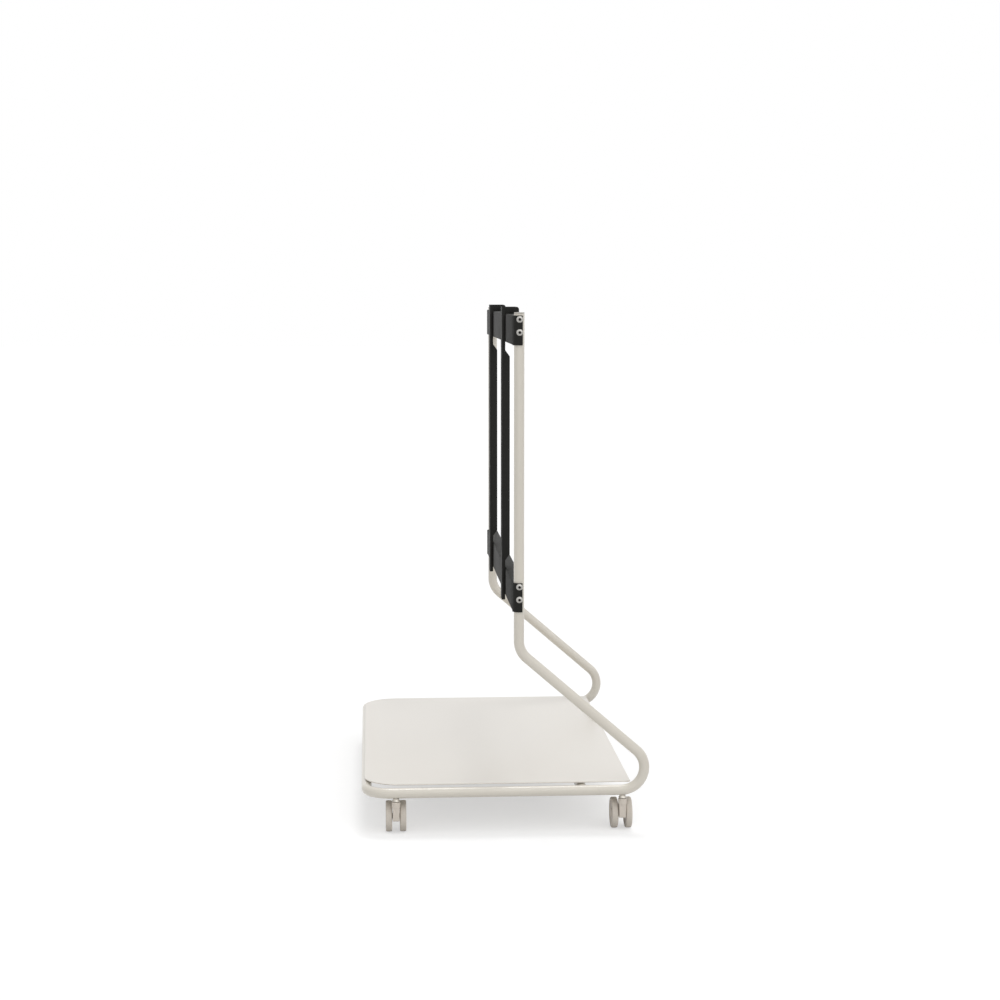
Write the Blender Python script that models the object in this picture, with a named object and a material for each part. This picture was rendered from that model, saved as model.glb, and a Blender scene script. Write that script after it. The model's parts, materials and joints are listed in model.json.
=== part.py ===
"""Rolling floor stand for a flat screen.

A low base of bent round tube carries a steel shelf plate and stands on four twin-wheel
swivel casters. At the back the two side tubes turn up and forward, then stand upright.
Two cross beams between the uprights carry a pair of hook-on arms for the screen.

Units are metres and +Z is up. The front faces -Y, and right is +X as seen from the front.
The origin is on the floor, at the centre of the overall footprint.
"""

import math

import bmesh
import bpy
from mathutils import Matrix, Vector

# Clearance kept between pieces that touch, and the play of a wheel on its axle.
GAP = 0.0003
RUNNING_PLAY = 0.0002

# Frame tube.
TUBE_D = 0.020
TUBE_WALL = 0.002
BEND_R = 0.044
RAIL_SPACING = 0.833
FRONT_TO_REAR_BEND = 0.494
FRONT_TO_UPRIGHT = 0.294
UPRIGHT_TOP = 1.0045
DIAGONAL_ANGLE = math.radians(40.8)

# Joint between the base and each upright: a sleeve inside the side rail, and its screw.
SEAM_BEFORE_CASTER = 0.048
SLEEVE_WALL = 0.0025
SLEEVE_IN_BASE = 0.041
SLEEVE_IN_UPRIGHT = 0.037
JOINT_SCREW_FROM_SEAM = 0.020

# Shelf plate, and what it is screwed to.
PLATE_T = 0.0025
PLATE_ABOVE_RAIL = 0.0028
PLATE_SIDE_INSET = 0.0087
PLATE_FRONT_OVERHANG = 0.004
PLATE_DEPTH = 0.5165
PLATE_FRONT_CORNER_R = 0.070
PLATE_REAR_CORNER_R = 0.006
PLATE_EDGE_R = 0.0005
CROSSBAR_BEFORE_SEAM = 0.030
TAB_T = 0.003
TAB_W = 0.026
TAB_REACH = 0.027
TAB_LIFT = 0.001
TAB_WELD_DEPTH = 0.0017
TAB_HOLE_FROM_END = 0.009
TAB_FROM_SIDE_RAIL = 0.120
BOSS_D = 0.012

# Screws of the shelf and of the frame joint.
SCREW_D = 0.005
SCREW_HEAD_D = 0.009
SCREW_HEAD_H = 0.0025
SCREW_HOLE_D = 0.0058
SCREW_REACH = 0.006

# End caps of the uprights.
CAP_T = 0.002
CAP_PLUG_ABOVE_BOLT = 0.0015
CAP_PLUG_WALL = 0.0015

# Casters.
WHEEL_D = 0.060
WHEEL_W = 0.0126
WHEEL_SPACING = 0.0148
WHEEL_TO_TUBE = 0.0112
TREAD_T = 0.004
TREAD_ROUNDING = 0.0015
WHEEL_HUB_RECESS = 0.0004
HUB_BORE_DEPTH = 0.0100
HUB_FACE_R = 0.008
DISH_DEPTH = 0.0014
DISH_LIP = 0.002
CASTER_TRAIL = 0.026
CASTER_SETBACK = 0.0567
REAR_CASTER_PAST_BEND = 0.002
AXLE_D = 0.006
YOKE_SIDE_GAP = 0.0009
YOKE_NECK_SIDE_GAP = 0.0004
YOKE_HUB_R = 0.009
YOKE_THRUST_D = 0.011
YOKE_CUP_D = 0.0168
YOKE_CUP_TOP_GAP = 0.0068
YOKE_CUP_H = 0.010
YOKE_CUP_ABOVE_WHEEL = 0.0005
YOKE_CONE_H = 0.003
YOKE_NECK_H = 0.0085
YOKE_BOTTOM_LIFT = 0.0265
YOKE_FOOT_R = 0.003
YOKE_ROUNDING = 0.001
STEM_D = 0.008
STEM_COLLAR_D = 0.0122
STEM_FLARE_D = 0.0156
STEM_FLARE_H = 0.0025
STEM_RIM_H = 0.0008
STEM_FOOT_D = 0.0095
STEM_FOOT_H = 0.0014
STEM_IN_YOKE = 0.024
STEM_IN_TUBE = 0.011

# Saddles, the beams between them, and the bolts through the uprights.
SADDLE_SHEET = 0.0025
SADDLE_BEHIND = 0.006
BEAM_H = 0.056
BEAM_SHEET = 0.002
BEAM_FOLD_R = 0.003
BEAM_BEHIND = 0.010
BEAM_BELOW_TOP = 0.006
BEAM_SPACING = 0.509
BOLT_EDGE = 0.0072
BOLT_PITCH = 0.0245
BOLT_D = 0.006
BOLT_HOLE_D = 0.0068
BOLT_HEAD_D = 0.0125
BOLT_HEAD_H = 0.0035
BOLT_KEY = 0.005
BOLT_KEY_DEPTH = 0.0018
WELD_NUT_ACROSS = 0.010
WELD_NUT_H = 0.005

# Arms that hook over the beams.
ARM_W = 0.036
ARM_SHEET = 0.002
ARM_FACE_AHEAD = 0.020
ARM_FROM_MIDDLE = 0.200
ARM_FOOT = 0.008
ARM_HEAD = 0.014
ARM_LIFT_ROOM = 0.016
ARM_SPINE_BACK = 0.016
ARM_CHAMFER = 0.012
HOOK_DROP = 0.010
HOOK_T = 0.004
ARM_SLOT_W = 0.0085
ARM_SLOT_L = 0.050
ARM_SLOT_PITCH = 0.085
ARM_SLOT_COUNT = 5

# How finely round shapes are cut into flats.
TUBE_SIDES = 16
DEGREES_PER_BEND_STEP = 16
WHEEL_SIDES = 20
PIN_SIDES = 10
CUP_SIDES = 16
HOLE_SIDES = 8
CORNER_STEPS = 4
FOLD_STEPS = 3
SHARP_ANGLE = math.radians(35)

# Places that follow from the sizes above.
TUBE_R = TUBE_D / 2
BORE_R = TUBE_R - TUBE_WALL
RAIL_X = RAIL_SPACING / 2
FRONT_Y = -(FRONT_TO_REAR_BEND + BEND_R) / 2
REAR_BEND_Y = FRONT_Y + FRONT_TO_REAR_BEND
UPRIGHT_Y = FRONT_Y + FRONT_TO_UPRIGHT
RAIL_UNDERSIDE = WHEEL_D + WHEEL_TO_TUBE
RAIL_Z = RAIL_UNDERSIDE + TUBE_R
RAIL_CROWN = RAIL_Z + TUBE_R
FRONT_CASTER_Y = FRONT_Y + CASTER_SETBACK
REAR_CASTER_Y = REAR_BEND_Y + REAR_CASTER_PAST_BEND
SEAM_Y = REAR_CASTER_Y - SEAM_BEFORE_CASTER
JOINT_SCREW_Y = SEAM_Y + JOINT_SCREW_FROM_SEAM
CROSSBAR_Y = SEAM_Y - CROSSBAR_BEFORE_SEAM
TAB_X = RAIL_X - TAB_FROM_SIDE_RAIL
TAB_TOP = RAIL_Z + TAB_LIFT + TAB_T
SHELF_SCREW_INWARD = TAB_REACH - TAB_HOLE_FROM_END
SHELF_SCREW_Y = {"front": FRONT_Y + SHELF_SCREW_INWARD, "rear": CROSSBAR_Y - SHELF_SCREW_INWARD}
PLATE_BOTTOM = RAIL_CROWN + PLATE_ABOVE_RAIL
YOKE_W = WHEEL_SPACING - 2 * YOKE_SIDE_GAP
CUP_TOP = RAIL_UNDERSIDE - YOKE_CUP_TOP_GAP
SADDLE_INNER_R = TUBE_R + GAP
SADDLE_OUTER_R = SADDLE_INNER_R + SADDLE_SHEET
BEAM_FRONT_Y = UPRIGHT_Y - SADDLE_OUTER_R
BEAM_REAR_Y = UPRIGHT_Y + BEAM_BEHIND
UPPER_BEAM_TOP = UPRIGHT_TOP - BEAM_BELOW_TOP
LOWER_BEAM_TOP = UPPER_BEAM_TOP - BEAM_SPACING
BOLT_DROPS = (BOLT_EDGE, BOLT_EDGE + BOLT_PITCH)
TOP_BOLT_CREST = UPPER_BEAM_TOP - BOLT_EDGE + BOLT_HOLE_D / 2
SIDES = {"right": 1, "left": -1}
UP = Vector((0, 0, 1))


def clear_scene():
    for obj in list(bpy.data.objects):
        bpy.data.objects.remove(obj, do_unlink=True)


def make_material(name, colour, roughness, metallic):
    material = bpy.data.materials.new(name)
    material.use_nodes = True
    shader = material.node_tree.nodes["Principled BSDF"]
    shader.inputs["Base Color"].default_value = (*colour, 1)
    shader.inputs["Roughness"].default_value = roughness
    shader.inputs["Metallic"].default_value = metallic
    return material


def put(name, bm, material, place=None, parent=None):
    """Turns a bmesh into a scene object at a place given by a matrix."""
    bmesh.ops.remove_doubles(bm, verts=bm.verts, dist=1e-7)
    bmesh.ops.recalc_face_normals(bm, faces=bm.faces)
    mesh = bpy.data.meshes.new(name)
    bm.to_mesh(mesh)
    bm.free()
    mesh.shade_smooth()
    mesh.set_sharp_from_angle(angle=SHARP_ANGLE)
    if material:
        mesh.materials.append(material)
    return put_mesh(name, mesh, place, parent)


def put_mesh(name, mesh, place=None, parent=None):
    """Adds an object that uses a mesh made before, as each repeated piece does."""
    obj = bpy.data.objects.new(name, mesh)
    bpy.context.scene.collection.objects.link(obj)
    obj.parent = parent
    obj.matrix_local = place or Matrix.Identity(4)
    return obj


def put_empty(name, place):
    empty = bpy.data.objects.new(name, None)
    bpy.context.scene.collection.objects.link(empty)
    empty.matrix_local = place
    return empty


def as_helper(obj):
    """Hides a shape that only cuts or joins another one."""
    obj.hide_render = True
    obj.display_type = "WIRE"
    return obj


def boolean(obj, operation, helper):
    modifier = obj.modifiers.new(operation.lower(), "BOOLEAN")
    modifier.operation = operation
    modifier.solver = "EXACT"
    modifier.object = as_helper(helper)


def at(x=0.0, y=0.0, z=0.0):
    return Matrix.Translation((x, y, z))


def along_y(x=0.0, y=0.0, z=0.0):
    """A place whose own +Z runs along the world's +Y."""
    return at(x, y, z) @ Matrix.Rotation(-math.pi / 2, 4, "X")


def along_x(x=0.0, y=0.0, z=0.0, side=1):
    """A place whose own +Z runs along the world's +X, or -X for side -1."""
    return at(x, y, z) @ Matrix.Rotation(side * math.pi / 2, 4, "Y")


def turned(profile, sides, ring=False):
    """A solid turned about Z from (radius, height) points.

    The points start and end on the axis, or close on themselves for a ring.
    Half a step of turn puts a flat, not an edge, towards each axis.
    """
    bm = bmesh.new()
    half_step = math.pi / sides
    start = Matrix.Rotation(half_step, 3, "Z")
    verts = [bm.verts.new(start @ Vector((radius, 0, height))) for radius, height in profile]
    edges = [bm.edges.new(pair) for pair in zip(verts, verts[1:])]
    if ring:
        edges.append(bm.edges.new((verts[-1], verts[0])))
    bmesh.ops.spin(
        bm,
        geom=verts + edges,
        cent=(0, 0, 0),
        axis=(0, 0, 1),
        angle=math.tau,
        steps=sides,
        use_merge=True,
    )
    bmesh.ops.remove_doubles(bm, verts=bm.verts, dist=1e-6)
    return bm


def extruded(outline, height, centred=False):
    """A prism with a flat outline in XY, raised along Z."""
    bm = bmesh.new()
    base = -height / 2 if centred else 0.0
    face = bm.faces.new([bm.verts.new((x, y, base)) for x, y in outline])
    made = bmesh.ops.extrude_face_region(bm, geom=[face])["geom"]
    raised = [item for item in made if isinstance(item, bmesh.types.BMVert)]
    bmesh.ops.translate(bm, verts=raised, vec=(0, 0, height))
    return bm


def box(low, high):
    bm = bmesh.new()
    size = [b - a for a, b in zip(low, high)]
    middle = [(a + b) / 2 for a, b in zip(low, high)]
    bmesh.ops.create_cube(bm, size=1, matrix=Matrix.Translation(middle) @ Matrix.Diagonal((*size, 1)))
    return bm


def cylinder(radius, bottom, top, sides=HOLE_SIDES):
    return turned([(0, bottom), (radius, bottom), (radius, top), (0, top)], sides)


def bore(radius, bottom, top, sides=HOLE_SIDES):
    """A cutter whose flats lie at the radius, so that what goes through has its full room."""
    return cylinder(radius / math.cos(math.pi / sides), bottom, top, sides)


def arc(centre, radius, start, end, steps):
    """Points on an arc, from one angle to another in degrees."""
    turn = [math.radians(start + (end - start) * i / steps) for i in range(steps + 1)]
    return [(centre[0] + radius * math.cos(a), centre[1] + radius * math.sin(a)) for a in turn]


class TubeRun:
    """A hollow round tube, made by pushing a ring-shaped face along straights and bends."""

    def __init__(self, start, heading):
        self.bm = bmesh.new()
        self.point = Vector(start)
        self.heading = Vector(heading)
        turn = UP.rotation_difference(self.heading).to_matrix().to_4x4()
        place = Matrix.Translation(self.point) @ turn @ Matrix.Rotation(math.pi / TUBE_SIDES, 4, "Z")
        for radius in (TUBE_R, BORE_R):
            bmesh.ops.create_circle(self.bm, radius=radius, segments=TUBE_SIDES, matrix=place)
        self.faces = bmesh.ops.bridge_loops(self.bm, edges=self.bm.edges[:])["faces"]
        self.started = False

    def push(self, move):
        """Extrudes the end face and moves it by a matrix."""
        made = bmesh.ops.extrude_face_region(self.bm, geom=self.faces)["geom"]
        moved = [item for item in made if isinstance(item, bmesh.types.BMVert)]
        bmesh.ops.transform(self.bm, matrix=move, verts=moved)
        if self.started:
            # Only the very first ring stays, as the tube's other end.
            bmesh.ops.delete(self.bm, geom=self.faces, context="FACES_ONLY")
        self.started = True
        self.faces = [item for item in made if isinstance(item, bmesh.types.BMFace)]

    def straight(self, length):
        self.push(Matrix.Translation(self.heading * length))
        self.point = self.point + self.heading * length
        return self

    def bend(self, axis, angle):
        """Turns the run about an axis at right angles to it, on the bend radius."""
        axis = Vector(axis)
        centre = self.point + axis.cross(self.heading) * math.copysign(BEND_R, angle)
        steps = math.ceil(abs(math.degrees(angle)) / DEGREES_PER_BEND_STEP)
        to_centre = Matrix.Translation(centre)
        step = to_centre @ Matrix.Rotation(angle / steps, 4, axis) @ to_centre.inverted()
        for _ in range(steps):
            self.push(step)
        turn = Matrix.Rotation(angle, 3, axis)
        self.point = centre + turn @ (self.point - centre)
        self.heading = turn @ self.heading
        return self


def drill_under(obj, name, side, y):
    """Drills the hole for a caster stem, up through the underside of a side rail."""
    hole = bore(STEM_D / 2 + GAP, RAIL_UNDERSIDE - TUBE_WALL, RAIL_Z)
    boolean(obj, "DIFFERENCE", put(name, hole, None, at(side * RAIL_X, y)))


def drill_inner_side(obj, name, side):
    """Drills the hole for the joint screw, from the rail's centreline out of its inner side."""
    hole = bore(SCREW_HOLE_D / 2, 0, TUBE_R + TUBE_WALL)
    boolean(obj, "DIFFERENCE", put(name, hole, None, along_x(side * RAIL_X, JOINT_SCREW_Y, RAIL_Z, -side)))


def add_tab(obj, name, x, tube_y, inward):
    """Welds a drilled tab for a shelf screw to a tube. Inward is 1 towards +Y and -1 towards -Y."""
    root_y = tube_y + inward * (TUBE_R - TAB_WELD_DEPTH)
    end_y = tube_y + inward * TAB_REACH
    low = (x - TAB_W / 2, min(root_y, end_y), TAB_TOP - TAB_T)
    high = (x + TAB_W / 2, max(root_y, end_y), TAB_TOP)
    boolean(obj, "UNION", put(name, box(low, high), None))
    hole = bore(SCREW_HOLE_D / 2, TAB_TOP - 2 * TAB_T, TAB_TOP + TAB_T)
    boolean(obj, "DIFFERENCE", put(f"{name}_hole", hole, None, at(x, tube_y + inward * SHELF_SCREW_INWARD)))


def make_base_frame(paint):
    """Front rail and both side rails, bent from one tube, with the shelf's front tabs."""
    rail_length = SEAM_Y - GAP / 2 - (FRONT_Y + BEND_R)
    run = TubeRun((-RAIL_X, SEAM_Y - GAP / 2, RAIL_Z), (0, -1, 0))
    run.straight(rail_length).bend(UP, math.pi / 2)
    run.straight(RAIL_SPACING - 2 * BEND_R).bend(UP, math.pi / 2)
    run.straight(rail_length)
    base = put("base_frame", run.bm, paint)
    for side_name, side in SIDES.items():
        add_tab(base, f"front_{side_name}_tab", side * TAB_X, FRONT_Y, 1)
        drill_under(base, f"front_{side_name}_stem_hole", side, FRONT_CASTER_Y)
    return base


def make_upright(side_name, side, paint):
    """Rear end of a side rail, the rear bend, the diagonal and the upright."""
    x = side * RAIL_X
    rear_turn = math.pi - DIAGONAL_ANGLE
    top_turn = math.pi / 2 - DIAGONAL_ANGLE
    # The diagonal's length between bends, from the fore-and-aft distance that it has to cover.
    run_back = REAR_BEND_Y + BEND_R * math.sin(rear_turn) - UPRIGHT_Y
    bend_share = BEND_R * (1 - math.cos(top_turn))
    diagonal = (run_back - bend_share) / math.cos(DIAGONAL_ANGLE)
    run = TubeRun((x, SEAM_Y + GAP / 2, RAIL_Z), (0, 1, 0))
    run.straight(REAR_BEND_Y - SEAM_Y - GAP / 2).bend((1, 0, 0), rear_turn)
    run.straight(diagonal).bend((1, 0, 0), -top_turn)
    run.straight(UPRIGHT_TOP - CAP_T - GAP - run.point.z)
    upright = put(f"{side_name}_upright", run.bm, paint)
    drill_under(upright, f"rear_{side_name}_stem_hole", side, REAR_CASTER_Y)
    drill_inner_side(upright, f"{side_name}_joint_hole", side)
    for row, beam_top in (("upper", UPPER_BEAM_TOP), ("lower", LOWER_BEAM_TOP)):
        for number, drop in enumerate(BOLT_DROPS, 1):
            name = f"{row}_{side_name}_tube_hole_{number}"
            place = along_x(x, UPRIGHT_Y, beam_top - drop)
            boolean(upright, "DIFFERENCE", put(name, bore(BOLT_HOLE_D / 2, -TUBE_D, TUBE_D), None, place))
    return upright


def make_crossbar(paint):
    """Tube between the side rails, with the shelf's rear tabs. Its ends fit round the rails."""
    reach = RAIL_X - TUBE_R / 2
    profile = [(BORE_R, -reach), (TUBE_R, -reach), (TUBE_R, reach), (BORE_R, reach)]
    bar = put("rear_crossbar", turned(profile, TUBE_SIDES, ring=True), paint, along_x(0, CROSSBAR_Y, RAIL_Z))
    for side_name, side in SIDES.items():
        cutter = bore(TUBE_R + GAP, -TUBE_D, TUBE_D, TUBE_SIDES)
        place = along_y(side * RAIL_X, CROSSBAR_Y, RAIL_Z)
        boolean(bar, "DIFFERENCE", put(f"{side_name}_cope", cutter, None, place))
        add_tab(bar, f"rear_{side_name}_tab", side * TAB_X, CROSSBAR_Y, -1)
    return bar


def make_joint_sleeve(side_name, side, steel):
    """Short tube inside the side rail that joins the base to the upright."""
    x = side * RAIL_X
    outer = BORE_R - GAP
    inner = outer - SLEEVE_WALL
    front, rear = -SLEEVE_IN_BASE, SLEEVE_IN_UPRIGHT
    ring = turned([(inner, front), (outer, front), (outer, rear), (inner, rear)], TUBE_SIDES, ring=True)
    sleeve = put(f"{side_name}_joint_sleeve", ring, steel, along_y(x, SEAM_Y, RAIL_Z))
    drill_inner_side(sleeve, f"{side_name}_sleeve_thread", side)
    length = TUBE_WALL + SLEEVE_WALL + 2 * GAP
    head_place = along_x(x - side * (TUBE_R + GAP), JOINT_SCREW_Y, RAIL_Z, side)
    put_screw(f"{side_name}_joint_screw", length, steel, head_place)


def put_screw(name, length, steel, place):
    """Low-headed screw that points along its own +Z, with the seat of its head at its origin."""
    head_r = SCREW_HEAD_D / 2
    profile = [
        (0, -SCREW_HEAD_H),
        (head_r * 0.7, -SCREW_HEAD_H),
        (head_r, -SCREW_HEAD_H * 0.45),
        (head_r, 0),
        (SCREW_D / 2, 0),
        (SCREW_D / 2, length),
        (0, length),
    ]
    return put(name, turned(profile, PIN_SIDES), steel, place)


def make_end_cap(side_name, side, plastic):
    """Flat plastic cap on top of an upright, with a hollow plug that goes into the tube."""
    plug_r = BORE_R - GAP
    plug_end = TOP_BOLT_CREST + CAP_PLUG_ABOVE_BOLT - (UPRIGHT_TOP - CAP_T)
    profile = [
        (0, 0),
        (plug_r - CAP_PLUG_WALL, 0),
        (plug_r - CAP_PLUG_WALL, plug_end),
        (plug_r, plug_end),
        (plug_r, 0),
        (TUBE_R, 0),
        (TUBE_R, CAP_T * 0.75),
        (TUBE_R - CAP_T * 0.25, CAP_T),
        (0, CAP_T),
    ]
    place = at(side * RAIL_X, UPRIGHT_Y, UPRIGHT_TOP - CAP_T)
    put(f"{side_name}_end_cap", turned(profile, TUBE_SIDES), plastic, place)


def make_shelf_plate(paint):
    """Flat steel plate with rounded corners, and threaded bosses welded underneath."""
    side_x = RAIL_X - PLATE_SIDE_INSET
    front = FRONT_Y - PLATE_FRONT_OVERHANG
    rear = front + PLATE_DEPTH
    big, small = PLATE_FRONT_CORNER_R, PLATE_REAR_CORNER_R
    outline = arc((-side_x + big, front + big), big, 180, 270, 2 * CORNER_STEPS)
    outline += arc((side_x - big, front + big), big, 270, 360, 2 * CORNER_STEPS)
    outline += arc((side_x - small, rear - small), small, 0, 90, CORNER_STEPS)
    outline += arc((-side_x + small, rear - small), small, 90, 180, CORNER_STEPS)
    plate = put("shelf_plate", extruded(outline, PLATE_T), paint, at(z=PLATE_BOTTOM))
    bevel = plate.modifiers.new("edge", "BEVEL")
    bevel.width = PLATE_EDGE_R
    bevel.segments = 1
    bevel.limit_method = "ANGLE"
    bevel.angle_limit = math.radians(60)
    boss_bottom = TAB_TOP + GAP
    for side_name, side in SIDES.items():
        for row, screw_y in SHELF_SCREW_Y.items():
            place = at(side * TAB_X, screw_y)
            boss = cylinder(BOSS_D / 2, boss_bottom, PLATE_BOTTOM + PLATE_T / 2)
            boolean(plate, "UNION", put(f"{row}_{side_name}_boss", boss, None, place))
            thread = bore(SCREW_HOLE_D / 2, boss_bottom - TAB_T, PLATE_BOTTOM)
            boolean(plate, "DIFFERENCE", put(f"{row}_{side_name}_boss_thread", thread, None, place))
    return plate


def make_shelf_screws(steel):
    for side_name, side in SIDES.items():
        for row, screw_y in SHELF_SCREW_Y.items():
            place = at(side * TAB_X, screw_y, TAB_TOP - TAB_T - GAP)
            put_screw(f"{row}_{side_name}_shelf_screw", TAB_T + 2 * GAP + SCREW_REACH, steel, place)


def stem_shape():
    """Caster stem: a flared collar against the tube, a shank up into it and a pin down into the yoke."""
    rim = CUP_TOP + STEM_FOOT_H
    flare = rim + STEM_RIM_H
    pin_r = STEM_D / 2
    profile = [
        (0, CUP_TOP - STEM_IN_YOKE),
        (pin_r, CUP_TOP - STEM_IN_YOKE),
        (pin_r, CUP_TOP + GAP),
        (STEM_FOOT_D / 2, CUP_TOP + GAP),
        (STEM_FOOT_D / 2, rim),
        (STEM_FLARE_D / 2, rim),
        (STEM_FLARE_D / 2, flare),
        (STEM_COLLAR_D / 2, flare + STEM_FLARE_H),
        (STEM_COLLAR_D / 2, RAIL_UNDERSIDE - GAP),
        (pin_r, RAIL_UNDERSIDE - GAP),
        (pin_r, RAIL_UNDERSIDE + STEM_IN_TUBE),
        (0, RAIL_UNDERSIDE + STEM_IN_TUBE),
    ]
    return turned(profile, PIN_SIDES)


def cup_bottom():
    """Lowest height at which the round cup, wider than the space between the wheels, still clears them."""
    wheel_r = rolling_radius(WHEEL_D / 2)
    overhang = math.sqrt(max((YOKE_CUP_D / 2) ** 2 - (WHEEL_SPACING / 2) ** 2, 0))
    back = CASTER_TRAIL - overhang
    return WHEEL_D / 2 + math.sqrt(max(wheel_r**2 - back**2, 0)) + YOKE_CUP_ABOVE_WHEEL


def yoke_outline():
    """Side view of the yoke's web, as (outward, up): the hub behind, the column under the stem in front."""
    hub = (-CASTER_TRAIL, WHEEL_D / 2)
    front, foot, web_top = YOKE_W / 2, YOKE_BOTTOM_LIFT, CUP_TOP - YOKE_CUP_H
    outline = arc(hub, YOKE_HUB_R, 120, 270, 2 * CORNER_STEPS)
    outline += [(-front, foot)]
    outline += arc((front - YOKE_FOOT_R, foot + YOKE_FOOT_R), YOKE_FOOT_R, 270, 360, CORNER_STEPS)
    outline += [(front, web_top), (-front, web_top)]
    return outline


def make_yoke_mesh(plastic):
    """The caster's body between its wheels: a web, a round cup on top and bores for stem and axle."""
    web = extruded(yoke_outline(), YOKE_W, centred=True)
    bmesh.ops.rotate(web, verts=web.verts, matrix=Matrix.Rotation(math.pi / 2, 3, "X"))
    yoke = put("yoke_pattern", web, plastic)
    cup_r = YOKE_CUP_D / 2
    neck_r = WHEEL_SPACING / 2 - YOKE_NECK_SIDE_GAP
    cup_low = max(cup_bottom(), CUP_TOP - YOKE_CUP_H)
    cup = turned(
        [
            (0, cup_low - YOKE_CONE_H - YOKE_NECK_H),
            (YOKE_W / 2, cup_low - YOKE_CONE_H - YOKE_NECK_H),
            (neck_r, cup_low - YOKE_CONE_H),
            (cup_r, cup_low),
            (cup_r, CUP_TOP - YOKE_ROUNDING),
            (cup_r - YOKE_ROUNDING, CUP_TOP),
            (0, CUP_TOP),
        ],
        CUP_SIDES,
    )
    boolean(yoke, "UNION", put("yoke_cup", cup, None))
    axle_place = along_y(-CASTER_TRAIL, 0, WHEEL_D / 2)
    thrust_reach = WHEEL_SPACING / 2 + WHEEL_HUB_RECESS - GAP
    thrust = cylinder(YOKE_THRUST_D / 2, -thrust_reach, thrust_reach, PIN_SIDES)
    boolean(yoke, "UNION", put("yoke_thrust_boss", thrust, None, axle_place))
    stem_bore = bore(STEM_D / 2 + RUNNING_PLAY, CUP_TOP - STEM_IN_YOKE - GAP, CUP_TOP + GAP)
    boolean(yoke, "DIFFERENCE", put("yoke_stem_bore", stem_bore, None))
    axle_bore = bore(AXLE_D / 2 + RUNNING_PLAY, -YOKE_W, YOKE_W)
    boolean(yoke, "DIFFERENCE", put("yoke_axle_bore", axle_bore, None, axle_place))
    return as_finished_mesh(yoke)


def as_finished_mesh(obj):
    """Applies a pattern object's modifiers, removes the object and keeps its mesh for the copies."""
    depsgraph = bpy.context.evaluated_depsgraph_get()
    mesh = bpy.data.meshes.new_from_object(obj.evaluated_get(depsgraph))
    bpy.data.objects.remove(obj, do_unlink=True)
    mesh.shade_smooth()
    mesh.set_sharp_from_angle(angle=SHARP_ANGLE)
    return mesh


def axle_shape():
    reach = WHEEL_SPACING / 2 + HUB_BORE_DEPTH - GAP
    return cylinder(AXLE_D / 2, -reach, reach, PIN_SIDES)


def rolling_radius(radius):
    """Corner radius of a many-sided wheel whose flats lie at the given radius."""
    return radius / math.cos(math.pi / WHEEL_SIDES)


def wheel_shape():
    """Wheel core, from its inner face at height 0: a closed hub face, a dished disc and a rim."""
    rim = rolling_radius(WHEEL_D / 2 - TREAD_T)
    axle_bore = rolling_radius(AXLE_D / 2 + RUNNING_PLAY)
    outer = WHEEL_W - WHEEL_HUB_RECESS
    dish = outer - DISH_DEPTH
    profile = [
        (0, outer),
        (HUB_FACE_R, outer),
        (HUB_FACE_R + DISH_DEPTH, dish),
        (rim - DISH_LIP - DISH_DEPTH, dish),
        (rim - DISH_LIP, outer),
        (rim, outer),
        (rim, WHEEL_HUB_RECESS),
        (axle_bore, WHEEL_HUB_RECESS),
        (axle_bore, HUB_BORE_DEPTH),
        (0, HUB_BORE_DEPTH),
    ]
    return turned(profile, WHEEL_SIDES)


def tread_shape():
    """Soft ring round the wheel core, with rounded shoulders."""
    inner = rolling_radius(WHEEL_D / 2 - TREAD_T + GAP)
    outer = rolling_radius(WHEEL_D / 2)
    round_off = TREAD_ROUNDING
    profile = [
        (inner, WHEEL_HUB_RECESS),
        (outer - round_off, 0),
        (outer, round_off),
        (outer, WHEEL_W - round_off),
        (outer - round_off, WHEEL_W),
        (inner, WHEEL_W - WHEEL_HUB_RECESS),
    ]
    return turned(profile, WHEEL_SIDES, ring=True)


def shape_mesh(name, bm, material):
    """A mesh for copies, from a bmesh."""
    obj = put(name, bm, material)
    mesh = obj.data
    bpy.data.objects.remove(obj, do_unlink=True)
    return mesh


def make_casters(plastic, rubber, steel):
    """Four casters whose wheels trail towards the middle of the stand."""
    stem = shape_mesh("caster_stem", stem_shape(), steel)
    yoke = make_yoke_mesh(plastic)
    axle = shape_mesh("caster_axle", axle_shape(), steel)
    wheel = shape_mesh("caster_wheel", wheel_shape(), plastic)
    tread = shape_mesh("caster_tread", tread_shape(), rubber)
    for row, y in (("front", FRONT_CASTER_Y), ("rear", REAR_CASTER_Y)):
        for side_name, side in SIDES.items():
            name = f"{row}_{side_name}"
            turn = 0 if side > 0 else math.pi
            swivel = put_empty(f"{name}_swivel_axis", at(side * RAIL_X, y) @ Matrix.Rotation(turn, 4, "Z"))
            put_mesh(f"{name}_stem", stem, parent=swivel)
            put_mesh(f"{name}_yoke", yoke, parent=swivel)
            put_mesh(f"{name}_axle", axle, along_y(-CASTER_TRAIL, 0, WHEEL_D / 2), swivel)
            for end_name, end in (("a", -side), ("b", side)):
                face_y = end * WHEEL_SPACING / 2
                place = at(-CASTER_TRAIL, face_y, WHEEL_D / 2) @ Matrix.Rotation(-end * math.pi / 2, 4, "X")
                put_mesh(f"{name}_wheel_{end_name}", wheel, place, swivel)
                put_mesh(f"{name}_tread_{end_name}", tread, place, swivel)


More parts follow.
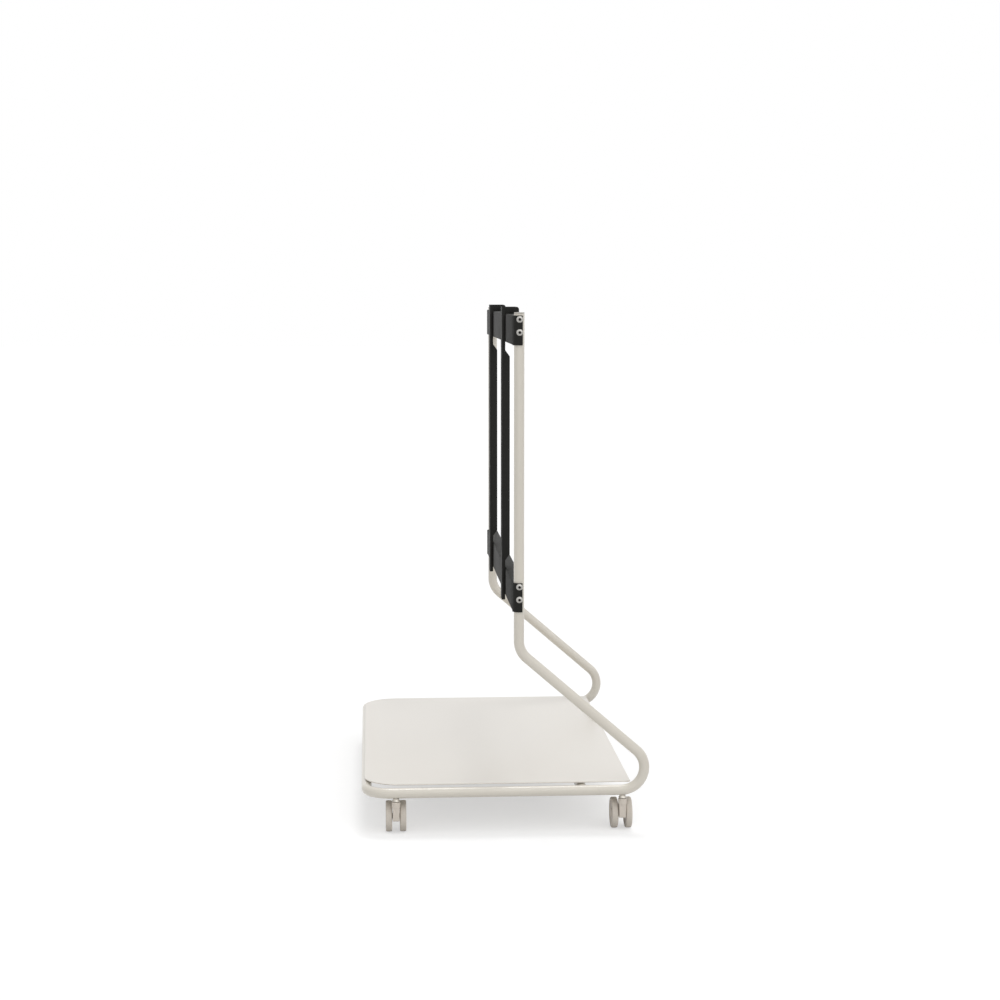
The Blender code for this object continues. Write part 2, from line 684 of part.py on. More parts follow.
def make_saddle(name, side, beam_top, steel):
    """Bent sheet that fits round the front half of an upright, with weld nuts on its inner cheek."""
    outer, inner, back = SADDLE_OUTER_R, SADDLE_INNER_R, SADDLE_BEHIND
    outline = arc((0, 0), outer, 180, 360, 2 * CORNER_STEPS) + [(outer, back), (inner, back)]
    outline += arc((0, 0), inner, 360, 180, 2 * CORNER_STEPS) + [(-inner, back), (-outer, back)]
    place = at(side * RAIL_X, UPRIGHT_Y, beam_top - BEAM_H)
    saddle = put(name, extruded(outline, BEAM_H), steel, place)
    for number, drop in enumerate(BOLT_DROPS, 1):
        middle = along_x(side * RAIL_X, UPRIGHT_Y, beam_top - drop, -side)
        nut_corner = WELD_NUT_ACROSS / 2 / math.cos(math.pi / 6)
        nut = cylinder(nut_corner, outer - SADDLE_SHEET / 2, outer + WELD_NUT_H, 6)
        boolean(saddle, "UNION", put(f"{name}_nut_{number}", nut, None, middle))
        hole = bore(BOLT_HOLE_D / 2, -2 * outer, 2 * outer + WELD_NUT_H)
        boolean(saddle, "DIFFERENCE", put(f"{name}_hole_{number}", hole, None, middle))
    return saddle


def make_bolt_mesh(steel):
    """Button-head bolt with a hexagon key. Its origin is on the tube's centreline, its head towards +Z."""
    under_head = SADDLE_OUTER_R + GAP
    head_r = BOLT_HEAD_D / 2
    tip = -(SADDLE_OUTER_R + WELD_NUT_H)
    profile = [
        (0, tip),
        (BOLT_D / 2, tip),
        (BOLT_D / 2, under_head),
        (head_r, under_head),
        (head_r, under_head + BOLT_HEAD_H * 0.4),
        (head_r * 0.7, under_head + BOLT_HEAD_H),
        (0, under_head + BOLT_HEAD_H),
    ]
    bolt = put("bolt_pattern", turned(profile, PIN_SIDES), steel)
    top = under_head + BOLT_HEAD_H
    key = cylinder(BOLT_KEY / 2 / math.cos(math.pi / 6), top - BOLT_KEY_DEPTH, top + BOLT_KEY_DEPTH, 6)
    boolean(bolt, "DIFFERENCE", put("bolt_key", key, None))
    return as_finished_mesh(bolt)


def make_beam(name, beam_top, steel):
    """Channel of bent sheet between the two saddles, open to the back."""
    length = RAIL_SPACING - 2 * (SADDLE_OUTER_R + GAP)
    front, rear, fold = BEAM_FRONT_Y, BEAM_REAR_Y, BEAM_FOLD_R
    bottom = beam_top - BEAM_H
    under_top, over_bottom, behind_web = beam_top - BEAM_SHEET, bottom + BEAM_SHEET, front + BEAM_SHEET
    outline = arc((front + fold, bottom + fold), fold, 270, 180, FOLD_STEPS)
    outline += arc((front + fold, beam_top - fold), fold, 180, 90, FOLD_STEPS)
    outline += [(rear, beam_top), (rear, under_top), (behind_web, under_top)]
    outline += [(behind_web, over_bottom), (rear, over_bottom), (rear, bottom)]
    # The outline lies in YZ and is pushed along X.
    place = Matrix(((0, 0, 1, 0), (1, 0, 0, 0), (0, 1, 0, 0), (0, 0, 0, 1)))
    return put(name, extruded(outline, length, centred=True), steel, place)


def arm_outline():
    """Side view of an arm as (y, z): shallow past each beam, deeper between them, with a hook on top."""
    face = UPRIGHT_Y - ARM_FACE_AHEAD
    clear = BEAM_FRONT_Y - GAP
    spine = face + ARM_SPINE_BACK
    foot = LOWER_BEAM_TOP - BEAM_H - ARM_FOOT
    spine_bottom = LOWER_BEAM_TOP + ARM_LIFT_ROOM
    spine_top = UPPER_BEAM_TOP - BEAM_H - ARM_LIFT_ROOM
    hook = BEAM_REAR_Y + GAP
    seat = UPPER_BEAM_TOP + GAP
    head = UPPER_BEAM_TOP + ARM_HEAD
    return [
        (face, foot),
        (clear, foot),
        (clear, spine_bottom),
        (spine, spine_bottom + ARM_CHAMFER),
        (spine, spine_top - ARM_CHAMFER),
        (clear, spine_top),
        (clear, seat),
        (hook, seat),
        (hook, UPPER_BEAM_TOP - HOOK_DROP),
        (hook + HOOK_T, UPPER_BEAM_TOP - HOOK_DROP),
        (hook + HOOK_T, head - HOOK_T),
        (hook, head),
        (face, head),
    ]


def make_arm(side_name, side, steel):
    """Upright channel that hooks over the upper beam and rests against the lower one."""
    face = UPRIGHT_Y - ARM_FACE_AHEAD
    low, high = LOWER_BEAM_TOP - BEAM_H - 2 * ARM_FOOT, UPPER_BEAM_TOP + 2 * ARM_HEAD
    x = side * ARM_FROM_MIDDLE
    to_yz = Matrix(((0, 0, 1, x), (1, 0, 0, 0), (0, 1, 0, 0), (0, 0, 0, 1)))
    arm = put(f"{side_name}_arm", extruded(arm_outline(), ARM_W, centred=True), steel, to_yz)
    inside = ARM_W / 2 - ARM_SHEET
    hollow = box((x - inside, face + ARM_SHEET, low), (x + inside, BEAM_REAR_Y + ARM_W, high))
    boolean(arm, "DIFFERENCE", put(f"{side_name}_arm_hollow", hollow, None))
    middle = (UPPER_BEAM_TOP + LOWER_BEAM_TOP - BEAM_H) / 2
    slot_r = ARM_SLOT_W / 2
    straight = ARM_SLOT_L / 2 - slot_r
    outline = arc((0, straight), slot_r, 0, 180, CORNER_STEPS)
    outline += arc((0, -straight), slot_r, 180, 360, CORNER_STEPS)
    for number in range(ARM_SLOT_COUNT):
        z = middle + (number - (ARM_SLOT_COUNT - 1) / 2) * ARM_SLOT_PITCH
        place = at(x, face + ARM_SHEET / 2, z) @ Matrix.Rotation(math.pi / 2, 4, "X")
        slot = extruded(outline, 3 * ARM_SHEET, centred=True)
        boolean(arm, "DIFFERENCE", put(f"{side_name}_arm_slot_{number + 1}", slot, None, place))
    return arm


def make_screen_mount(black, bright):
    bolt = make_bolt_mesh(bright)
    for row, beam_top in (("upper", UPPER_BEAM_TOP), ("lower", LOWER_BEAM_TOP)):
        make_beam(f"{row}_beam", beam_top, black)
        for side_name, side in SIDES.items():
            make_saddle(f"{row}_{side_name}_saddle", side, beam_top, black)
            for number, drop in enumerate(BOLT_DROPS, 1):
                place = along_x(side * RAIL_X, UPRIGHT_Y, beam_top - drop, side)
                put_mesh(f"{row}_{side_name}_bolt_{number}", bolt, place)
    for side_name, side in SIDES.items():
        make_arm(side_name, side, black)


def main():
    clear_scene()
    paint = make_material("greige_paint", (0.66, 0.62, 0.55), 0.38, 0.0)
    plate_paint = make_material("plate_paint", (0.70, 0.66, 0.61), 0.32, 0.0)
    cap_plastic = make_material("cap_plastic", (0.58, 0.55, 0.49), 0.5, 0.0)
    caster_plastic = make_material("caster_plastic", (0.52, 0.46, 0.39), 0.45, 0.0)
    tread_rubber = make_material("tread_rubber", (0.46, 0.41, 0.36), 0.7, 0.0)
    black_steel = make_material("black_steel", (0.018, 0.018, 0.017), 0.5, 0.0)
    plain_steel = make_material("plain_steel", (0.45, 0.44, 0.42), 0.35, 1.0)
    bright_steel = make_material("bright_steel", (0.62, 0.62, 0.60), 0.25, 1.0)
    make_base_frame(paint)
    make_crossbar(paint)
    for side_name, side in SIDES.items():
        make_upright(side_name, side, paint)
        make_joint_sleeve(side_name, side, plain_steel)
        make_end_cap(side_name, side, cap_plastic)
    make_shelf_plate(plate_paint)
    make_shelf_screws(plain_steel)
    make_casters(caster_plastic, tread_rubber, plain_steel)
    make_screen_mount(black_steel, bright_steel)


main()
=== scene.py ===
import json
import math

import bmesh
import bpy
from mathutils import Matrix, Vector


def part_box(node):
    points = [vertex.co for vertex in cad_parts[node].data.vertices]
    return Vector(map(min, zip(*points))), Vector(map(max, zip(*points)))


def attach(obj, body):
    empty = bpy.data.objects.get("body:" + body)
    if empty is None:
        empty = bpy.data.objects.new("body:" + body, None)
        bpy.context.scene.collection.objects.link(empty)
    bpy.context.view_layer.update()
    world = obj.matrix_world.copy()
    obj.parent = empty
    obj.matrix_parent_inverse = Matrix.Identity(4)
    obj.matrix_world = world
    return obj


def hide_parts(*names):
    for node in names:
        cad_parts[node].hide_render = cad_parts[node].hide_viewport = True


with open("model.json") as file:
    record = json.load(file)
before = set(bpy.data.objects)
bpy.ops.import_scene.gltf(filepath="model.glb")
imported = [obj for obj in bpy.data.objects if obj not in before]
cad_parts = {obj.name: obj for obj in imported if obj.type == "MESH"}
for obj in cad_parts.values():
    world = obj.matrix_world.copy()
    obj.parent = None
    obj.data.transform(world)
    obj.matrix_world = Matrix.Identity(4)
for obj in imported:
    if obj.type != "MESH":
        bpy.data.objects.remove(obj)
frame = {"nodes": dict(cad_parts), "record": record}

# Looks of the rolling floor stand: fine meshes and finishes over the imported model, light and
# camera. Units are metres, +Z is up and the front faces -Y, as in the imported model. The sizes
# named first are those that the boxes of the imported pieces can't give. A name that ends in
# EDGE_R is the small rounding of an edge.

# Clearance between pieces that touch, and the play of a pin in its bore.
GAP = 0.0003
RUNNING_PLAY = 0.0002

# Frame tube, and the seam where the base meets an upright.
TUBE_D = 0.020
TUBE_WALL = 0.002
BEND_R = 0.044
DIAGONAL_ANGLE = math.radians(40.8)
SEAM_GAP = 0.0001
SEAM_EDGE_R = 0.00012
TUBE_END_EDGE_R = 0.0004

# Shelf plate and its bosses, which flare out a little where they meet it.
PLATE_T = 0.0025
PLATE_FRONT_OVERHANG = 0.004
PLATE_FRONT_CORNER_R = 0.070
PLATE_REAR_CORNER_R = 0.006
PLATE_CORNER_STEPS = 24
PLATE_EDGE_R = 0.0006
BOSS_D = 0.012
BOSS_BORE_R = 0.0026
BOSS_EDGE_R = 0.0006
BOSS_FLARE = 0.0012
BOSS_FLARE_H = 0.0005
BOSS_IN_PLATE = 0.0002

# Tabs that carry the plate.
TAB_T = 0.003
TAB_W = 0.026
TAB_REACH = 0.027
TAB_LIFT = 0.001
TAB_WELD_DEPTH = 0.0017
TAB_HOLE_FROM_END = 0.009
TAB_CORNER_R = 0.005
TAB_EDGE_R = 0.0004

# Weld beads. The ripples' depth and the bluntness of the ends are shares of the bead's radius,
# and the crossbar's weld reaches as many degrees above the tube's middle as below it.
WELD_R = 0.0014
WELD_RIPPLE = 0.0013
WELD_RIPPLE_SHARE = 0.10
WELD_RIPPLE_STEPS = 4
WELD_BLUNT_SHARE = 0.04
TAB_WELD_INSET = 0.002
CROSSBAR_WELD_LIFT = 0.4 * WELD_R
CROSSBAR_WELD_HALF_ARC = 48
CROSSBAR_WELD_STEPS = 24

# Screws of the shelf and of the frame joint.
SCREW_D = 0.005
SCREW_HOLE_D = 0.0058
SCREW_HEAD_H = 0.0025
SCREW_CROWN_EDGE_R = 0.0011
SCREW_SEAT_EDGE_R = 0.0002
SCREW_TIP_EDGE_R = 0.0005
SCREW_KEY = 0.003
SCREW_KEY_DEPTH = 0.0015

# End caps of the uprights.
CAP_T = 0.002
CAP_PLUG_WALL = 0.0015
CAP_PLUG_EDGE_R = 0.0005
CAP_SEAT_EDGE_R = 0.0002
CAP_CROWN_EDGE_R = 0.0008

# Caster stems.
STEM_D = 0.008
STEM_COLLAR_D = 0.0122
STEM_FLARE_D = 0.0156
STEM_FLARE_H = 0.0025
STEM_RIM_H = 0.0008
STEM_FOOT_D = 0.0095
STEM_FOOT_H = 0.0014
STEM_PIN_EDGE_R = 0.0006
STEM_FOOT_EDGE_R = 0.0002
STEM_RIM_EDGE_R = 0.0003
STEM_WAIST_EDGE_R = 0.0008
STEM_TOP_EDGE_R = 0.0005

# Yokes. The hub's arc is in degrees, and the cone under the cup runs down into the web.
YOKE_W = 0.013
YOKE_HUB_R = 0.009
YOKE_HUB_ARC = (125, 265)
YOKE_HUB_STEPS = 20
YOKE_BOTTOM_LIFT = 0.0265
YOKE_FOOT_R = 0.003
YOKE_EDGE_R = 0.0007
YOKE_WEB_BELOW_TOP = 0.006
YOKE_CUP_D = 0.0168
YOKE_CUP_H = 0.010
YOKE_CUP_FOOT_EDGE_R = 0.0012
YOKE_CUP_TOP_EDGE_R = 0.0010
YOKE_CUP_MOUTH_EDGE_R = 0.0004
YOKE_SOCKET_DEPTH = 0.004
YOKE_CONE_H = 0.003
YOKE_CONE_ROOT_H = 0.009
YOKE_CONE_ROOT_R = 0.00585
YOKE_NECK_SIDE_GAP = 0.0004
YOKE_NECK_EDGE_R = 0.001
YOKE_THRUST_D = 0.011
YOKE_THRUST_EDGE_R = 0.0003

# Wheel cores: a crowned hub cap, a dished disc and a lip outside, and a shallow ring inside.
WHEEL_SPACING = 0.0148
WHEEL_HUB_RECESS = 0.0004
HUB_FACE_R = 0.008
HUB_CROWN = 0.0002
HUB_EDGE_R = 0.0006
HUB_SLOPE = 0.0008
HUB_FOOT_EDGE_R = 0.0004
DISH_DEPTH = 0.0014
DISH_TO_RIM = 0.0038
DISH_EDGE_R = 0.0006
LIP_W = 0.0026
LIP_EDGE_R = 0.0005
CORE_IN_TREAD_GAP = 0.0002
CORE_OUTER_EDGE_R = 0.0002
CORE_INNER_EDGE_R = 0.0003
INNER_LIP_W = 0.003
INNER_RING_SLOPE = 0.001
INNER_RING_DEPTH = 0.0012
INNER_RING_EDGE_R = 0.0004

# Treads, with round shoulders and a crown that is nearly flat between two shares of the width.
TREAD_T = 0.004
TREAD_SHOULDER_R = 0.0022
TREAD_CROWN = 0.0003
TREAD_CROWN_R = 0.02
TREAD_CROWN_SHARES = (0.35, 0.65)

# Saddles, beams and the bolts through the uprights.
SADDLE_SHEET = 0.0025
SADDLE_EDGE_R = 0.0005
SADDLE_ARC_STEPS = 40
WELD_NUT_ACROSS = 0.010
WELD_NUT_EDGE_R = 0.0005
BEAM_SHEET = 0.002
BEAM_FOLD_R = 0.003
BEAM_EDGE_R = 0.0004
BOLT_D = 0.006
BOLT_TIP_EDGE_R = 0.0006
BOLT_HEAD_D = 0.0125
BOLT_HEAD_H = 0.0035
BOLT_SEAT_INSET = 0.0001
BOLT_DOME_TO_HEAD = 1.35
BOLT_DOME_STEPS = 12
BOLT_KEY = 0.005
BOLT_KEY_DEPTH = 0.0018
BOLT_MOUTH_R = 0.0031
BOLT_MOUTH_OVERRUN = 0.00124
# Radius round a bolt's axis within which its socket is painted nearly black, as painted shade.
BOLT_PAINTED_SOCKET_SHADE_R = 0.00275

# Arms that hook over the beams.
ARM_SHEET = 0.002
ARM_FOLD_R = 0.003
ARM_EDGE_R = 0.0003
ARM_SPINE_BACK = 0.016
ARM_LIFT_ROOM = 0.016
ARM_CHAMFER = 0.012
ARM_CHAMFER_R = 0.004
ARM_FOOT_R = 0.002
ARM_HEAD_R = 0.005
ARM_OVERRUN = 0.01
HOOK_DROP = 0.010
HOOK_T = 0.004
HOOK_SEAT_R = 0.0005
HOOK_EDGE_R = 0.0008
ARM_SLOT_W = 0.0085
ARM_SLOT_L = 0.050
ARM_SLOT_PITCH = 0.085
ARM_SLOT_COUNT = 5
ARM_SLOT_STEPS = 16

# How finely round shapes are cut into flats, and which edges count as sharp.
TUBE_SIDES = 48
DEGREES_PER_BEND_STEP = 3
ROUND_SIDES = 64
SCREW_SIDES = 48
WHEEL_SIDES = 96
WELD_SIDES = 10
FILLET_STEPS = 5
FOLD_STEPS = 8
MERGE_DISTANCE = 1e-6
SHARP_ANGLE = math.radians(35)
SHEET_EDGE_ANGLE = 50

# The photograph's frame and camera, as fitted to the stand's own lengths.
PHOTO_PIXELS = 1000
FOCAL_PIXELS = 2018.8
SENSOR_MM = 36
CAMERA_YAW = math.radians(3.67)
CAMERA_PITCH = math.radians(6.11)
CAMERA_TO_RAIL = 3.815
CAMERA_BEHIND_FRONT_RAIL = 0.0129
CAMERA_HEIGHT = 1.0577
CAMERA_CLIP = (0.05, 200)

FLOOR_SIZE = 60.0
WHITE = (1, 1, 1, 1)

# The span of values that most of a noise pattern lies in.
NOISE_SPAN = (0.3, 0.7)

UP = Vector((0, 0, 1))
SIDES = {"right": 1, "left": -1}
BASE_ROWS = ("front", "rear")
BEAM_ROWS = ("upper", "lower")
BOLT_NUMBERS = (1, 2)

# Lay a prism that was raised along Z so that its outline stands in YZ, or in XZ.
OUTLINE_IN_YZ = Matrix(((0, 0, 1, 0), (1, 0, 0, 0), (0, 1, 0, 0), (0, 0, 0, 1)))
OUTLINE_IN_XZ = Matrix.Rotation(math.pi / 2, 4, "X")


def middle(node):
    low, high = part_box(node)
    return (low + high) / 2


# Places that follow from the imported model's boxes.
TUBE_R = TUBE_D / 2
BORE_R = TUBE_R - TUBE_WALL
RAIL_X = middle("front_right_stem").x
RAIL_Z = middle("rear_crossbar").z
RAIL_UNDERSIDE = RAIL_Z - TUBE_R
CROSSBAR_Y = middle("rear_right_shelf_screw").y + TAB_REACH - TAB_HOLE_FROM_END
FRONT_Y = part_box("shelf_plate")[0].y + PLATE_FRONT_OVERHANG
REAR_BEND_Y = -FRONT_Y - BEND_R
SEAM_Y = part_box("base_frame")[1].y + GAP / 2
UPRIGHT_Y = middle("right_end_cap").y
UPRIGHT_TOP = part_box("right_end_cap")[1].z
TAB_TOP = RAIL_Z + TAB_LIFT + TAB_T
TAB_X = middle("front_right_shelf_screw").x
WHEEL_R = middle("front_right_wheel_a").z
CUP_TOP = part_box("front_right_yoke")[1].z
CASTER_TRAIL = RAIL_X - middle("front_right_wheel_a").x
SADDLE_INNER_R = TUBE_R + GAP
SADDLE_OUTER_R = SADDLE_INNER_R + SADDLE_SHEET

RECORD = frame["record"]
BODY_OF = {node: body for body, nodes in RECORD["behaviour"]["bodies"].items() for node in nodes}


def at(x=0.0, y=0.0, z=0.0):
    return Matrix.Translation((x, y, z))


def facing(point, way):
    """A place at a point whose own +Z runs along the given way."""
    return Matrix.Translation(point) @ UP.rotation_difference(Vector(way)).to_matrix().to_4x4()


def half_turn_if(turned_round):
    return Matrix.Rotation(math.pi if turned_round else 0, 4, "Z")


def filleted(corners, steps=FILLET_STEPS):
    """Points of a closed outline whose corners are (x, y), or (x, y, fillet radius)."""
    points = []
    for index, corner in enumerate(corners):
        here = Vector(corner[:2])
        if len(corner) == 2:
            points.append(tuple(here))
            continue
        back = (Vector(corners[index - 1][:2]) - here).normalized()
        ahead = (Vector(corners[(index + 1) % len(corners)][:2]) - here).normalized()
        half = back.angle(ahead) / 2
        centre = here + (back + ahead).normalized() * (corner[2] / math.sin(half))
        first = here + back * (corner[2] / math.tan(half)) - centre
        last = here + ahead * (corner[2] / math.tan(half)) - centre
        turn = math.atan2(first.x * last.y - first.y * last.x, first.dot(last))
        for step in range(steps + 1):
            spoke = Matrix.Rotation(turn * step / steps, 2) @ first
            points.append(tuple(centre + spoke))
    return points


def arc(centre, radius, start, end, steps):
    """Points on an arc, from one angle to another in degrees."""
    turn = [math.radians(start + (end - start) * i / steps) for i in range(steps + 1)]
    return [(centre[0] + radius * math.cos(a), centre[1] + radius * math.sin(a)) for a in turn]


def turned(profile, sides=ROUND_SIDES, ring=False):
    """A solid turned about Z from (radius, height) points from axis to axis, or a ring."""
    bm = bmesh.new()
    verts = [bm.verts.new((radius, 0, height)) for radius, height in profile]
    edges = [bm.edges.new(pair) for pair in zip(verts, verts[1:])]
    if ring:
        edges.append(bm.edges.new((verts[-1], verts[0])))
    bmesh.ops.spin(
        bm,
        geom=verts + edges,
        cent=(0, 0, 0),
        axis=(0, 0, 1),
        angle=math.tau,
        steps=sides,
        use_merge=True,
    )
    return bm


def extruded(outline, height, centred=False):
    """A prism with a flat outline in XY, raised along Z."""
    bm = bmesh.new()
    base = -height / 2 if centred else 0.0
    face = bm.faces.new([bm.verts.new((x, y, base)) for x, y in outline])
    made = bmesh.ops.extrude_face_region(bm, geom=[face])["geom"]
    raised = [item for item in made if isinstance(item, bmesh.types.BMVert)]
    bmesh.ops.translate(bm, verts=raised, vec=(0, 0, height))
    return bm


def hexagon(across):
    return arc((0, 0), across / 2 / math.cos(math.pi / 6), 0, 300, 5)


def put(name, bm, place=None):
    """Makes an object of a bmesh, with its faces turned outwards, and sets it in its place."""
    bmesh.ops.remove_doubles(bm, verts=bm.verts, dist=MERGE_DISTANCE)
    bmesh.ops.recalc_face_normals(bm, faces=bm.faces)
    mesh = bpy.data.meshes.new(name)
    bm.to_mesh(mesh)
    bm.free()
    obj = bpy.data.objects.new(name, mesh)
    bpy.context.scene.collection.objects.link(obj)
    obj.matrix_world = place or Matrix.Identity(4)
    return obj


def apply_modifiers(obj):
    depsgraph = bpy.context.evaluated_depsgraph_get()
    obj.data = bpy.data.meshes.new_from_object(obj.evaluated_get(depsgraph))
    obj.modifiers.clear()


def cut(obj, cutter, operation="DIFFERENCE"):
    """Applies a boolean with a helper object, and removes the helper."""
    modifier = obj.modifiers.new("cut", "BOOLEAN")
    modifier.operation = operation
    modifier.solver = "EXACT"
    modifier.object = cutter
    apply_modifiers(obj)
    bpy.data.objects.remove(cutter, do_unlink=True)


def softened(obj, width, segments=3, angle=40):
    """Rounds the edges of an object that are sharper than an angle in degrees."""
    bevel = obj.modifiers.new("rounded", "BEVEL")
    bevel.width = width
    bevel.segments = segments
    bevel.limit_method = "ANGLE"
    bevel.angle_limit = math.radians(angle)
    bevel.use_clamp_overlap = True
    bevel.miter_outer = "MITER_ARC"
    return obj


def dress(node, obj, look, extra=False):
    """Finishes a piece of a CAD node: it rides on its body and, unless extra, replaces it."""
    apply_modifiers(obj)
    obj.data.materials.clear()
    obj.data.materials.append(look)
    obj.data.shade_smooth()
    obj.data.set_sharp_from_angle(angle=SHARP_ANGLE)
    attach(obj, BODY_OF[node])
    if not extra:
        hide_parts(node)


class Path:
    """A tube's centreline as a list of places whose +Z is the way ahead."""

    def __init__(self, start, heading):
        self.stations = [facing(start, heading)]

    def straight(self, length):
        self.stations.append(self.stations[-1] @ at(z=length))
        return self

    def bend(self, axis, angle):
        last = self.stations[-1]
        point, heading = last.translation, last.col[2].to_3d()
        to_centre = Vector(axis).cross(heading) * math.copysign(BEND_R, angle)
        centre = Matrix.Translation(point + to_centre)
        steps = math.ceil(abs(math.degrees(angle)) / DEGREES_PER_BEND_STEP)
        for step in range(1, steps + 1):
            turn = Matrix.Rotation(angle * step / steps, 4, axis)
            self.stations.append(centre @ turn @ centre.inverted() @ last)
        return self


def ring_at(bm, place, radius, sides):
    """Vertices of a circle round the place's own Z."""
    turn = [math.tau * i / sides for i in range(sides)]
    points = [(radius * math.cos(a), radius * math.sin(a), 0) for a in turn]
    return [bm.verts.new(place @ Vector(point)) for point in points]


def joined_rings(bm, rings, closed):
    pairs = list(zip(rings, rings[1:]))
    if closed:
        pairs.append((rings[-1], rings[0]))
    for one, other in pairs:
        for i in range(len(one)):
            j = (i + 1) % len(one)
            bm.faces.new((one[i], one[j], other[j], other[i]))


def rounded_end(radius):
    """Steps over a tube's rounded outer edge, from its end face on, as (drop, inset)."""
    turn = [math.pi / 2 * step / FILLET_STEPS for step in range(FILLET_STEPS + 1)]
    return [(radius * (1 - math.sin(a)), radius * (1 - math.cos(a))) for a in turn]


def swept_tube(stations, start_edge_r, end_edge_r):
    """A hollow tube along the stations of a path, with the outer edge of each end rounded."""
    bm = bmesh.new()
    rings = []
    for drop, inset in rounded_end(start_edge_r):
        rings.append(ring_at(bm, stations[0] @ at(z=inset), TUBE_R - drop, TUBE_SIDES))
    for place in stations[1:-1]:
        rings.append(ring_at(bm, place, TUBE_R, TUBE_SIDES))
    for drop, inset in reversed(rounded_end(end_edge_r)):
        rings.append(ring_at(bm, stations[-1] @ at(z=-inset), TUBE_R - drop, TUBE_SIDES))
    for place in reversed(stations):
        rings.append(ring_at(bm, place, BORE_R, TUBE_SIDES))
    joined_rings(bm, rings, closed=True)
    return bm


def bead(points):
    """A weld bead along a line of points, with the ripples of its passes."""
    bm = bmesh.new()
    fine, run = [], 0.0
    for one, other in zip(points, points[1:]):
        length = (other - one).length
        steps = max(1, round(length / (WELD_RIPPLE / WELD_RIPPLE_STEPS)))
        for step in range(steps):
            fine.append((one.lerp(other, step / steps), run + length * step / steps))
        run += length
    fine.append((points[-1], run))
    rings = []
    for index, (point, along) in enumerate(fine):
        ahead = fine[min(index + 1, len(fine) - 1)][0] - fine[max(index - 1, 0)][0]
        end_share = min(1.0, math.sqrt(min(along, run - along) / WELD_R + WELD_BLUNT_SHARE))
        ripple = 1 + WELD_RIPPLE_SHARE * math.cos(math.tau * along / WELD_RIPPLE)
        place = facing(point, ahead.normalized())
        rings.append(ring_at(bm, place, WELD_R * end_share * ripple, WELD_SIDES))
    joined_rings(bm, rings, closed=False)
    bm.faces.new(rings[0])
    bm.faces.new(rings[-1])
    return bm


class Nodes:
    """Short names for building a material's node tree."""

    def __init__(self, name):
        self.material = bpy.data.materials.new(name)
        self.material.use_nodes = True
        self.tree = self.material.node_tree
        self.shader = self.tree.nodes["Principled BSDF"]
        self.place = self.tree.nodes.new("ShaderNodeTexCoord").outputs["Object"]

    def node(self, kind, **settings):
        made = self.tree.nodes.new(kind)
        for key, value in settings.items():
            setattr(made, key, value)
        return made

    def link(self, source, target):
        self.tree.links.new(source, target)

    def stretched(self, scale):
        mapping = self.node("ShaderNodeMapping")
        mapping.inputs["Scale"].default_value = scale
        self.link(self.place, mapping.inputs["Vector"])
        return mapping.outputs["Vector"]

    def noise(self, per_metre, detail=3.0, roughness=0.5, vector=None):
        noise = self.node("ShaderNodeTexNoise")
        noise.inputs["Scale"].default_value = per_metre
        noise.inputs["Detail"].default_value = detail
        noise.inputs["Roughness"].default_value = roughness
        self.link(vector or self.place, noise.inputs["Vector"])
        return noise.outputs["Fac"]

    def between(self, value, span, result):
        """Maps a value from one (low, high) span to another, held at the ends."""
        mapped = self.node("ShaderNodeMapRange")
        for name, number in zip(("From Min", "From Max", "To Min", "To Max"), span + result):
            mapped.inputs[name].default_value = number
        self.link(value, mapped.inputs["Value"])
        return mapped.outputs["Result"]

    def sum(self, one, other):
        made = self.node("ShaderNodeMath", operation="ADD")
        self.link(one, made.inputs[0])
        self.link(other, made.inputs[1])
        return made.outputs["Value"]

    def mixed(self, share, one, other):
        """Mixes two colours, each a plain colour or a socket."""
        mix = self.node("ShaderNodeMix", data_type="RGBA")
        self.link(share, mix.inputs["Factor"])
        targets = [socket for socket in mix.inputs if socket.type == "RGBA"]
        for target, colour in zip(targets, (one, other)):
            if isinstance(colour, tuple):
                target.default_value = (*colour, 1)
            else:
                self.link(colour, target)
        return [socket for socket in mix.outputs if socket.type == "RGBA"][0]

    def bump(self, height, distance):
        bump = self.node("ShaderNodeBump")
        bump.inputs["Strength"].default_value = 1.0
        bump.inputs["Distance"].default_value = distance
        self.link(height, bump.inputs["Height"])
        return bump.outputs["Normal"]

    def finish(self, colour, roughness, normal, **constants):
        self.link(colour, self.shader.inputs["Base Color"])
        self.link(roughness, self.shader.inputs["Roughness"])
        self.link(normal, self.shader.inputs["Normal"])
        for name, value in constants.items():
            self.shader.inputs[name.replace("_", " ")].default_value = value
        return self.material


def shade(colour, factor):
    return tuple(min(1.0, channel * factor) for channel in colour)


def powder_coat(name, colour, roughness, peel, grain=700, uneven=1.0, **constants):
    """Sprayed and baked powder: uneven colour, fine orange peel, faint rubbed patches and dust."""
    made = Nodes(name)
    tint, fleck_most, rubbed_most = 0.012 * uneven, 0.25 * uneven, 0.4 * uneven
    cloud = made.between(made.noise(per_metre=5), NOISE_SPAN, (0, 1))
    specks = made.noise(per_metre=420, detail=1)
    fleck = made.between(specks, (0.68, 0.76), (0, fleck_most))
    patches = made.noise(per_metre=22, detail=5, roughness=0.55)
    rubbed = made.between(patches, (0.56, 0.74), (0, rubbed_most))
    tone = made.mixed(cloud, shade(colour, 1 - tint), shade(colour, 1 + tint))
    tone = made.mixed(fleck, tone, shade(colour, 0.93))
    tone = made.mixed(rubbed, tone, shade(colour, 1.03))
    rough = made.sum(
        made.between(rubbed, (0, 0.4), (roughness, roughness + 0.06)),
        made.between(made.noise(per_metre=180), NOISE_SPAN, (-0.01, 0.01)),
    )
    skin = made.bump(made.noise(per_metre=grain, detail=2), distance=peel)
    return made.finish(tone, rough, skin, **constants)


